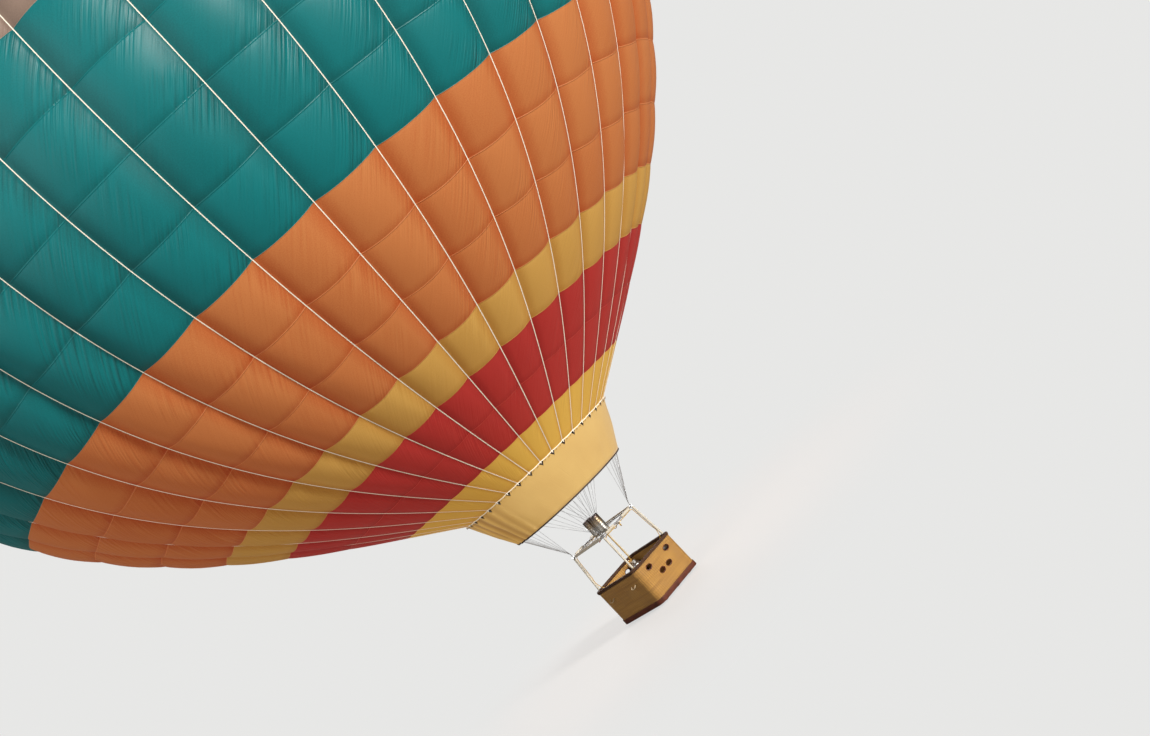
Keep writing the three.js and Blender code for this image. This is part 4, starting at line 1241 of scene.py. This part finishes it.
runner_wood, tree, shader = new_finish("runner_wood", (0.36, 0.24, 0.13), 0.7)
grain = noise(tree, stretched(tree, on_object(tree), (1.0, 22.0, 22.0)), 2.4, 6.0, Distortion=0.9)
mud = noise(tree, on_object(tree), 5.0, 5.0)
wood = mixed(tree, grain, (0.46, 0.32, 0.17), (0.20, 0.12, 0.06))
muddy = mixed(tree, scaled(tree, mud, 2.2, -1.0, clamp=True), wood, (0.10, 0.075, 0.05))
painted(tree, shader, muddy, mud, 0.3, 0.55)
bumped(tree, shader, grain, 0.0020)
for place_name in ("front", "middle", "rear"):
    dress(f"runner_{place_name}", runner_wood)

# Basket walls. Willow and cane strands woven in and out of upright stakes, golden, with painted
# shade where a strand passes behind a stake and in the creases between strands, and a few darker
# bands. Each short end has four oval foot holes bound in hide.
WALL = 0.045
BASKET_CORNER = 0.200
STRANDS = 55
STAKE_STEP = 0.0595
STAKE_SAMPLES = 3
WEAVE_REACH = 0.0065
STRAND_ROUND = 0.0045
FOOT_HOLE_HALF = np.array([0.100, 0.065])
FLAT_FROM = 1.45
FLAT_FADE = 0.20
FOOT_HOLES = ((-0.380, 0.250), (0.380, 0.250), (-0.140, 0.550), (0.140, 0.550))
wall_box, rim_box, trim_box = (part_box(node) for node in ("basket_walls", "basket_rim", "basket_trim"))
wall_x, wall_y = wall_box[1][0], wall_box[1][1]
wall_foot, wall_top, rim_top = wall_box[0][2], wall_box[1][2], rim_box[1][2]
wall_line = rounded_loop(wall_x - WALL / 2, wall_y - WALL / 2, BASKET_CORNER - WALL / 2, 0.0, 24, 40)
wall_line = np.vstack([wall_line, wall_line[:1]])[:, :2]
wall_run = run_along(wall_line)
wall_way = unit(np.gradient(wall_line, axis=0))
wall_way[0] = wall_way[-1] = (0, 1)
GIRTH = wall_run[-1]
STAKES = int(2 * round(GIRTH / STAKE_STEP / 2))


def round_the_wall(run, out):
    """Place of points round the basket: run is the way along the wall's middle, out is outwards."""
    run = np.mod(run, GIRTH)
    x, y, way_x, way_y = (np.interp(run, wall_run, line) for line in (*wall_line.T, *wall_way.T))
    size = np.hypot(way_x, way_y)
    return x + way_y / size * out, y - way_x / size * out


def wall_surface(run, rows, out):
    """Points of the weave: the wall's middle moved out by the way of its strands.

    A strand runs in front of one stake and behind the next, as a cosine, and the strand above it
    does the opposite. Its own roundness is a sine of the row.
    """
    strand = np.floor(rows + 1e-9)
    crest = np.sin(math.pi * (rows - strand))
    weave = WEAVE_REACH * np.cos(math.pi * (run / GIRTH * STAKES + strand)) * crest
    reach = out + weave + np.sign(out) * STRAND_ROUND * crest
    return over(*round_the_wall(run, reach), wall_foot + rows / STRANDS * (wall_top - wall_foot))


columns = STAKES * STAKE_SAMPLES
run_line = (np.arange(columns) * GIRTH / columns)[:, None]
row_line = np.arange(2 * STRANDS + 1) / 2
row_line[-1] -= 1e-6
base = WALL / 2 - WEAVE_REACH - STRAND_ROUND
outer, inner = wall_surface(run_line, row_line, base), wall_surface(run_line, row_line, -base)
kept_point = np.ones(outer.shape[:2], bool)
for (across, drop), end in ((hole, end) for hole in FOOT_HOLES for end in (-1, 1)):
    centre = np.array([across, rim_top - drop])
    for surface, way in ((outer, 1), (inner, -1)):
        on_end = surface[..., 0] * end > wall_x - 1.6 * WALL
        offset = (surface[..., 1:] - centre) / FOOT_HOLE_HALF
        nearness = np.linalg.norm(offset, axis=-1)
        flatness = np.clip((FLAT_FROM - nearness) / FLAT_FADE, 0, 1) * on_end
        flat_x = end * (wall_x - WALL / 2 + way * (base + STRAND_ROUND))
        surface[..., 0] = surface[..., 0] * (1 - flatness) + flat_x * flatness
        inside = on_end & (nearness < 1)
        on_edge = centre + offset / np.maximum(nearness, 1e-6)[..., None] * FOOT_HOLE_HALF
        surface[..., 1:] = np.where(inside[..., None], on_edge, surface[..., 1:])
        kept_point &= ~inside
keep_cells = kept_point | np.roll(kept_point, -1, axis=0)
keep_cells = keep_cells[:, :-1] | keep_cells[:, 1:]
wall_uv = over(np.arange(columns + 1)[:, None] / STAKE_SAMPLES, row_line)

wicker, tree, shader = new_finish("wicker", (0.55, 0.32, 0.10), 0.55, Coat_Weight=0.08)
strip = on_cloth(tree)
split = add(tree, "SeparateXYZ", {0: strip}).outputs
strand = maths(tree, "FLOOR", split["Y"])
stretch = maths(tree, "FLOOR", maths(tree, "DIVIDE", split["X"], 7.0))
cell = add(tree, "CombineXYZ", {0: stretch, 1: strand}).outputs[0]
tone = add(tree, "TexWhiteNoise", {"Vector": cell}, noise_dimensions="2D").outputs["Value"]
fibre = noise(tree, stretched(tree, strip, (0.9, 9.0, 1)), 2.2, 5.0)
age = noise(tree, on_object(tree), 2.2, 4.0)
share = maths(tree, "ADD", maths(tree, "MULTIPLY", tone, 0.45), maths(tree, "MULTIPLY", fibre, 0.45))
share = maths(tree, "SUBTRACT", share, 0.12, clamp=True)
dark_band = maths(tree, "LESS_THAN", maths(tree, "PINGPONG", maths(tree, "ADD", strand, 2.0), 11.5), 1.6)
turn = maths(tree, "MULTIPLY", maths(tree, "ADD", split["X"], strand), math.pi)
behind = maths(tree, "MULTIPLY", maths(tree, "COSINE", turn), -0.62, clamp=True)
two_rods = maths(tree, "PINGPONG", maths(tree, "MULTIPLY", split["Y"], 2.0), 0.5)
between_strands = maths(tree, "PINGPONG", maths(tree, "FRACT", split["Y"]), 0.5)
willow = (0.72, 0.41, 0.10)
for share, colour in (
    (share, (0.42, 0.19, 0.038)),
    (maths(tree, "MULTIPLY", dark_band, 0.16), (0.22, 0.075, 0.03)),
    # Painted shade where a strand passes behind a stake.
    (behind, (0.17, 0.070, 0.018)),
    # Painted shade in the creases between strands.
    (maths(tree, "MULTIPLY", near(tree, between_strands, 0.22), 0.6), (0.13, 0.055, 0.02)),
    (scaled(tree, age, 1.4, -0.62, clamp=True), (0.34, 0.18, 0.07)),
):
    willow = mixed(tree, share, willow, colour)
painted(tree, shader, willow, fibre, 0.3, 0.38)
bumped(tree, shader, scaled(tree, two_rods, 2.0, fibre), 0.0028)
parts = [shell(outer, inner, wall_uv, wrap=True, keep=keep_cells)]
piece("wicker_walls", parts, wicker, ["basket_walls"], crisp=False)

# Rim and foot trim. Suede over foam along the top edge, and rawhide laced round the foot, where
# the basket takes its knocks. The same hide binds the foot holes.
LACING = 0.0032
BINDING = 0.014
BINDING_DEPTH = WALL / 2 + 0.003
RIM_ROUND = 0.033
RIM_DRAW = 0.985
TRIM_LAP = 0.002
TRIM_ROUND = 0.005


def leather(name, colour, roughness, gloss, scuffing, pore_size, depth):
    """Scuffed leather with pores."""
    finish, tree, shader = new_finish(name, colour, roughness, Specular_IOR_Level=gloss)
    worn = scuffed(tree, shader, *scuffing)
    pores = add(tree, "TexVoronoi", {"Vector": on_object(tree), "Scale": pore_size}).outputs["Distance"]
    bumped(tree, shader, maths(tree, "ADD", pores, worn["Mottle"]), depth)
    return finish


SUEDE_SCUFFS = (0.105, 0.050, 0.028), (0.040, 0.019, 0.011), 0.78, 9.0, 1.5
HIDE_SCUFFS = (0.175, 0.042, 0.022), (0.055, 0.016, 0.009), 0.60, 6.0, 1.7
rim_leather = leather("rim_leather", (0.10, 0.045, 0.028), 0.75, 0.25, SUEDE_SCUFFS, 420.0, 0.0015)
trim_hide = leather("trim_leather", (0.16, 0.032, 0.024), 0.5, 0.3, HIDE_SCUFFS, 260.0, 0.0020)
THONG_SCUFFS = (0.34, 0.20, 0.10), (0.18, 0.09, 0.045), 40.0, 1.2, 0.0006
thong = scratched("lacing_thong", (0.30, 0.17, 0.08), 0.7, *THONG_SCUFFS)


def round_band(section, columns, waves, wave_reach, centre_z):
    """A section of outward and upward points carried round the basket, with soft waves in it."""
    run = (np.arange(columns) * GIRTH / columns)[:, None]
    swell = 1 + wave_reach * np.cos(run / GIRTH * 2 * math.pi * waves)
    points = over(*round_the_wall(run, section[:, 0] * swell), centre_z + section[:, 1] * swell)
    return grid(points, over(np.append(run, GIRTH)[:, None], run_along(section, closed=True)), wrap=True)


rim_up, trim_up = ((box[1][2] - box[0][2]) / 2 for box in (rim_box, trim_box))
rim_out, trim_out = rim_box[1][0] - wall_x + WALL / 2, trim_box[1][0] - wall_x
section = rounded_section(-rim_out, rim_out, -rim_up, rim_up, RIM_ROUND, 6) * RIM_DRAW
parts = [round_band(section, 336, 42, 0.012, middle_of(rim_box)[2])]
rim = piece("rim_padding", parts, rim_leather, ["basket_rim"])
section = rounded_section(WALL / 2 - TRIM_LAP, WALL / 2 + trim_out, -trim_up, trim_up, TRIM_ROUND)
parts = [round_band(section, 288, 36, 0.0, middle_of(trim_box)[2])]
piece("foot_trim", parts, trim_hide, ["basket_trim"])


def lacing(count, low, high, out_low, out_high):
    """Slanting stitches round the basket: each goes out, over the edge and back in."""
    out = np.array([out_low - 0.006, out_low + 0.001, out_high + 0.001, out_high - 0.006])
    steps = np.array([0.2, 0.25, 0.75, 0.8])
    parts = []
    for stitch in range(count):
        x, y = round_the_wall((stitch + steps) * GIRTH / count, out)
        parts.append(tube(over(x, y, (low, low, high, high)), LACING, 5, (0.3, 0.2, 1)))
    return parts


trim_top, rim_foot = trim_box[1][2], rim_box[0][2]
stitches = lacing(150, trim_top - 0.022, trim_top + 0.016, WALL / 2 + trim_out, WALL / 2 + 0.002)
stitches += lacing(170, rim_foot - 0.012, rim_foot + 0.022, WALL / 2 + 0.002, rim_out - 0.004)
piece("edge_lacing", stitches, thong)

turn = around(48)
oval = over(0, FOOT_HOLE_HALF[0] * np.cos(turn), FOOT_HOLE_HALF[1] * np.sin(turn))
parts = []
for (across, drop), end in ((hole, end) for hole in FOOT_HOLES for end in (-1, 1)):
    line = oval + (end * (wall_x - WALL / 2), across, rim_top - drop)
    parts.append(tube(line, BINDING, 12, ACROSS, closed=True, flat=BINDING_DEPTH / BINDING))
piece("foot_hole_binding", parts, trim_hide)

# Uprights. Nylon rods inside padded cloth sleeves, from the rim's corners to the load frame's. They
# stand in sockets and hold the burner up while the envelope is slack.
UPRIGHT_RADIUS = 0.030
for name, x, y in CORNERS:
    foot, head = upright_foot * (x, y, 1), upright_head * (x, y, 1)
    padded_sleeve(f"upright_sleeve_{name}", foot, head, UPRIGHT_RADIUS, [f"upright_{name}"], ACROSS)

# Fuel tanks. Aluminium cylinders with welded domes, a guard collar round the valve, and two webbing
# straps each that hold them to the wall.
TANK_RADIUS = 0.1585
COLLAR_RADIUS = 0.096
COLLAR_THICK = 0.005
COLLAR_UP = np.array([0.872, 0.884, 0.898, 0.912, 0.924, 0.936, 0.946, 0.950])
COLLAR_LIP = 0.002
STRAPS_UP = (0.26, 0.66)
STRAP_HALF = 0.024
STRAP_OUT = (-0.002, 0.003)
STRAP_ROUND = 0.002
BUCKLE_HALF = (0.030, 0.029)
BUCKLE_OUT = 0.004
BUCKLE_TUBE = 0.003
SPINDLE = (0.044, 0.007)
WHEEL_UP = 0.906
WHEEL_OUT = 0.046
WHEEL_RADIUS = 0.022
WHEEL_TUBE = 0.005
SPOKE = 0.004
TANK_PROFILE = (
    (0.001, 0.012), (0.100, 0.006), (0.104, 0.000), (0.112, 0.000), (0.114, 0.012), (0.134, 0.026),
    (0.150, 0.046), (0.1575, 0.074), (0.1575, 0.084), (0.1595, 0.087), (0.1595, 0.091),
    (0.1575, 0.094), (0.1575, 0.796), (0.1595, 0.799), (0.1595, 0.803), (0.1575, 0.806),
    (0.1575, 0.816), (0.151, 0.842), (0.136, 0.862), (0.112, 0.877), (0.075, 0.887), (0.001, 0.890),
)
TANK_VALVE_PROFILE = (
    (0.001, 0.884), (0.020, 0.884), (0.020, 0.898), (0.0155, 0.900),
    (0.0155, 0.914), (0.011, 0.916), (0.011, 0.918), (0.001, 0.918),
)
TANK_SCUFFS = (0.64, 0.65, 0.64), (0.36, 0.37, 0.37), 8.0, 1.2, 0.0006
tank_metal = scratched("tank_metal", (0.60, 0.61, 0.60), 0.38, *TANK_SCUFFS, Metallic=1.0)
strap_web, tree, shader = new_finish("tank_strap", (0.12, 0.055, 0.025), 0.8)
rib = wave(tree, on_cloth(tree), 120.0)
patterned(tree, shader, rib, ((0.15, 0.070, 0.032), (0.075, 0.034, 0.016)), 0.15, 0.7, 0.0008)


def squarish(wave, power):
    """A sine or cosine with its size raised to a power, which squares up a ring."""
    return np.sign(wave) * np.abs(wave) ** power


collar_keep = np.ones((48, 7), bool)
for first in (4, 20, 36):
    collar_keep[first : first + 8, 2:5] = False
collar_radii = COLLAR_RADIUS, np.where(COLLAR_UP > 0.94, -COLLAR_LIP, 0.0) + COLLAR_RADIUS - COLLAR_THICK
turn, buckle_turn, wheel_turn = around(48)[:, None], around(16)[:, None], around(18)
outer, inner = (over(np.cos(turn) * radius, np.sin(turn) * radius, COLLAR_UP) for radius in collar_radii)
no_uv = np.zeros((49, 8, 2))
for name, x, y in CORNERS:
    foot = np.array([*tank_middle[name][:2], wall_foot])
    collar = shell(foot + outer, foot + inner, no_uv, wrap=True, keep=collar_keep)
    parts = [lathe(TANK_PROFILE, 48, foot), collar]
    piece(f"tank_{name}", parts, tank_metal, [f"fuel_tank_{name}"])
    straps, buckles = [], []
    inward = np.array([-x, -y, 0]) / math.sqrt(2)
    beside = np.array([-inward[1], inward[0], 0])
    for height in STRAPS_UP:
        across = (TANK_RADIUS + out for out in STRAP_OUT)
        strap = rounded_section(*across, height - STRAP_HALF, height + STRAP_HALF, STRAP_ROUND, 3)
        straps.append(lathe(strap, 48, foot))
        buckle = foot + UP * height + inward * (TANK_RADIUS + BUCKLE_OUT)
        buckle = buckle + BUCKLE_HALF[0] * squarish(np.cos(buckle_turn), 0.5) * beside
        buckle = buckle + BUCKLE_HALF[1] * squarish(np.sin(buckle_turn), 0.5) * UP
        buckles.append(tube(buckle, BUCKLE_TUBE, 6, inward, closed=True))
    piece(f"tank_straps_{name}", straps, strap_web)
    piece(f"tank_buckles_{name}", buckles, frame_steel)
    hub = foot + UP * WHEEL_UP
    wheel = hub - (x * WHEEL_OUT, 0, 0)
    rim_line = wheel + over(0, WHEEL_RADIUS * np.cos(wheel_turn), WHEEL_RADIUS * np.sin(wheel_turn))
    parts = [
        lathe(TANK_VALVE_PROFILE, 12, foot),
        tube([hub, hub - (x * SPINDLE[0], 0, 0)], SPINDLE[1], 8),
        tube(rim_line, WHEEL_TUBE, 6, ACROSS, closed=True),
        tube([wheel - (0, WHEEL_RADIUS, 0), wheel + (0, WHEEL_RADIUS, 0)], SPOKE, 6),
    ]
    piece(f"tank_valve_{name}", parts, brass)

# Rope handles. Three-strand rope, one loop by each corner of the long sides, spliced through the
# wicker.
ROPE_RADIUS = 0.012
STRAND_RADIUS = 0.0063
ROPE_PITCH = 0.062
HANDLE_SIZE = (0.095, 0.070, -0.048)
HANDLE_UP = 0.720
HANDLE_X = 0.560
HANDLE_SHAPE = (
    (-1, 0, 0), (-1, 0.3, 0), (-0.75, 0.9, 0.65), (0, 1, 1), (0.75, 0.9, 0.65), (1, 0.3, 0), (1, 0, 0)
)
rope, tree, shader = new_finish("rope", (0.70, 0.60, 0.40), 0.85)
yarn = wave(tree, stretched(tree, on_cloth(tree), (6.0, 300.0, 1)), 1.0, "DIAGONAL", Distortion=1.0)
patterned(tree, shader, yarn, ((0.74, 0.64, 0.44), (0.46, 0.36, 0.20)), 0.15, 0.75, 0.0008)


def laid_rope(line):
    """Three strands wound round a line: each is a tube on a helix of one turn per pitch."""
    along = unit(np.gradient(line, axis=0))
    first = unit(np.cross(along, (0.1, 0.2, 1.0)))
    second = np.cross(along, first)
    parts = []
    for start in (0, 1, 2):
        turn = ((run_along(line) / ROPE_PITCH + start / 3) * 2 * math.pi)[:, None]
        path = line + (ROPE_RADIUS - STRAND_RADIUS) * (np.cos(turn) * first + np.sin(turn) * second)
        parts.append(tube(path, STRAND_RADIUS, 8, SKEW))
    return parts


for name, x, y in CORNERS:
    root = (x * HANDLE_X, y * (wall_y + 0.0003), wall_foot + HANDLE_UP)
    line = curve_through(root + np.array(HANDLE_SHAPE) * HANDLE_SIZE * (1, y, 1), 64)
    handle = piece(f"rope_loop_{name}", laid_rope(line), rope, [f"rope_handle_{name}"])
    hang(line)

# Stage. A plain pale floor that fades into a plain pale surround, a low warm key light, a softer
# light from behind the object, a weak one from the side in shade, and a little from all round.
FLOOR_Z = -16.345
FLOOR_REACH = 120.0
FADE_FROM = 1.5
FADE_TO = 11.0
PALE = (0.80, 0.80, 0.79, 1)
LIGHTS = (
    ("key", (0.965, 0.112, 0.237), 3.8, 10, (1.0, 0.96, 0.90)),
    ("fill", (-0.80, 0.50, 0.33), 1.9, 35, (0.96, 0.98, 1.0)),
    ("side", (0.10, -0.97, 0.20), 0.9, 60, (1.0, 0.97, 0.92)),
)


def empty_tree(owner):
    """The node tree of a material or world, with no nodes in it."""
    owner.use_nodes = True
    owner.node_tree.nodes.clear()
    return owner.node_tree


def seen_and_cast(tree, seen, cast, ending):
    """Shows one shader to the camera and lights the object with another."""
    ray = add(tree, "LightPath").outputs["Is Camera Ray"]
    both = add(tree, "MixShader", {0: ray, 1: cast.outputs[0], 2: seen.outputs[0]})
    add(tree, ending, {"Surface": both.outputs[0]})


floor_mesh = bpy.data.meshes.new("floor")
floor_corners = [(-1, -1), (1, -1), (1, 1), (-1, 1)]
floor_points = [(x * FLOOR_REACH, y * FLOOR_REACH, FLOOR_Z) for x, y in floor_corners]
floor_mesh.from_pydata(floor_points, [], [(0, 1, 2, 3)])
floor = bpy.data.objects.new("floor", floor_mesh)
bpy.context.scene.collection.objects.link(floor)
floor_paint = bpy.data.materials.new("floor_paint")
tree = empty_tree(floor_paint)
level = add(tree, "VectorMath", {0: on_object(tree), 1: (1, 1, 0)}, operation="MULTIPLY").outputs[0]
reach = add(tree, "VectorMath", {0: level}, operation="LENGTH").outputs["Value"]
fade_inputs = {"Value": reach, "From Min": FADE_FROM, "From Max": FADE_TO}
fade = add(tree, "MapRange", fade_inputs, interpolation_type="SMOOTHSTEP").outputs[0]
near_paint = add(tree, "BsdfDiffuse", {"Color": (0.30, 0.30, 0.30, 1)}).outputs[0]
near_glow = add(tree, "Emission", {"Color": PALE, "Strength": 0.76}).outputs[0]
near_floor = add(tree, "AddShader", {0: near_paint, 1: near_glow}).outputs[0]
far_floor = add(tree, "Emission", {"Color": PALE, "Strength": 1.0}).outputs[0]
seen = add(tree, "MixShader", {0: fade, 1: near_floor, 2: far_floor})
bounce = add(tree, "BsdfDiffuse", {"Color": (0.34, 0.32, 0.28, 1)})
seen_and_cast(tree, seen, bounce, "OutputMaterial")
floor_mesh.materials.append(floor_paint)

world = bpy.data.worlds.new("studio")
bpy.context.scene.world = world
tree = empty_tree(world)
seen = add(tree, "Background", {"Color": PALE, "Strength": 1.0})
ambient = add(tree, "Background", {"Color": (0.92, 0.96, 1.0, 1), "Strength": 0.13})
seen_and_cast(tree, seen, ambient, "OutputWorld")

for light_name, direction, energy, width, colour in LIGHTS:
    light = bpy.data.lights.new(light_name, "SUN")
    light.energy = energy
    light.angle = math.radians(width)
    light.color = colour
    light_object = bpy.data.objects.new(light_name, light)
    bpy.context.scene.collection.objects.link(light_object)
    light_object.rotation_mode = "QUATERNION"
    light_object.rotation_quaternion = Vector(direction).to_track_quat("Z", "Y")

bpy.context.scene.view_settings.view_transform = "Standard"
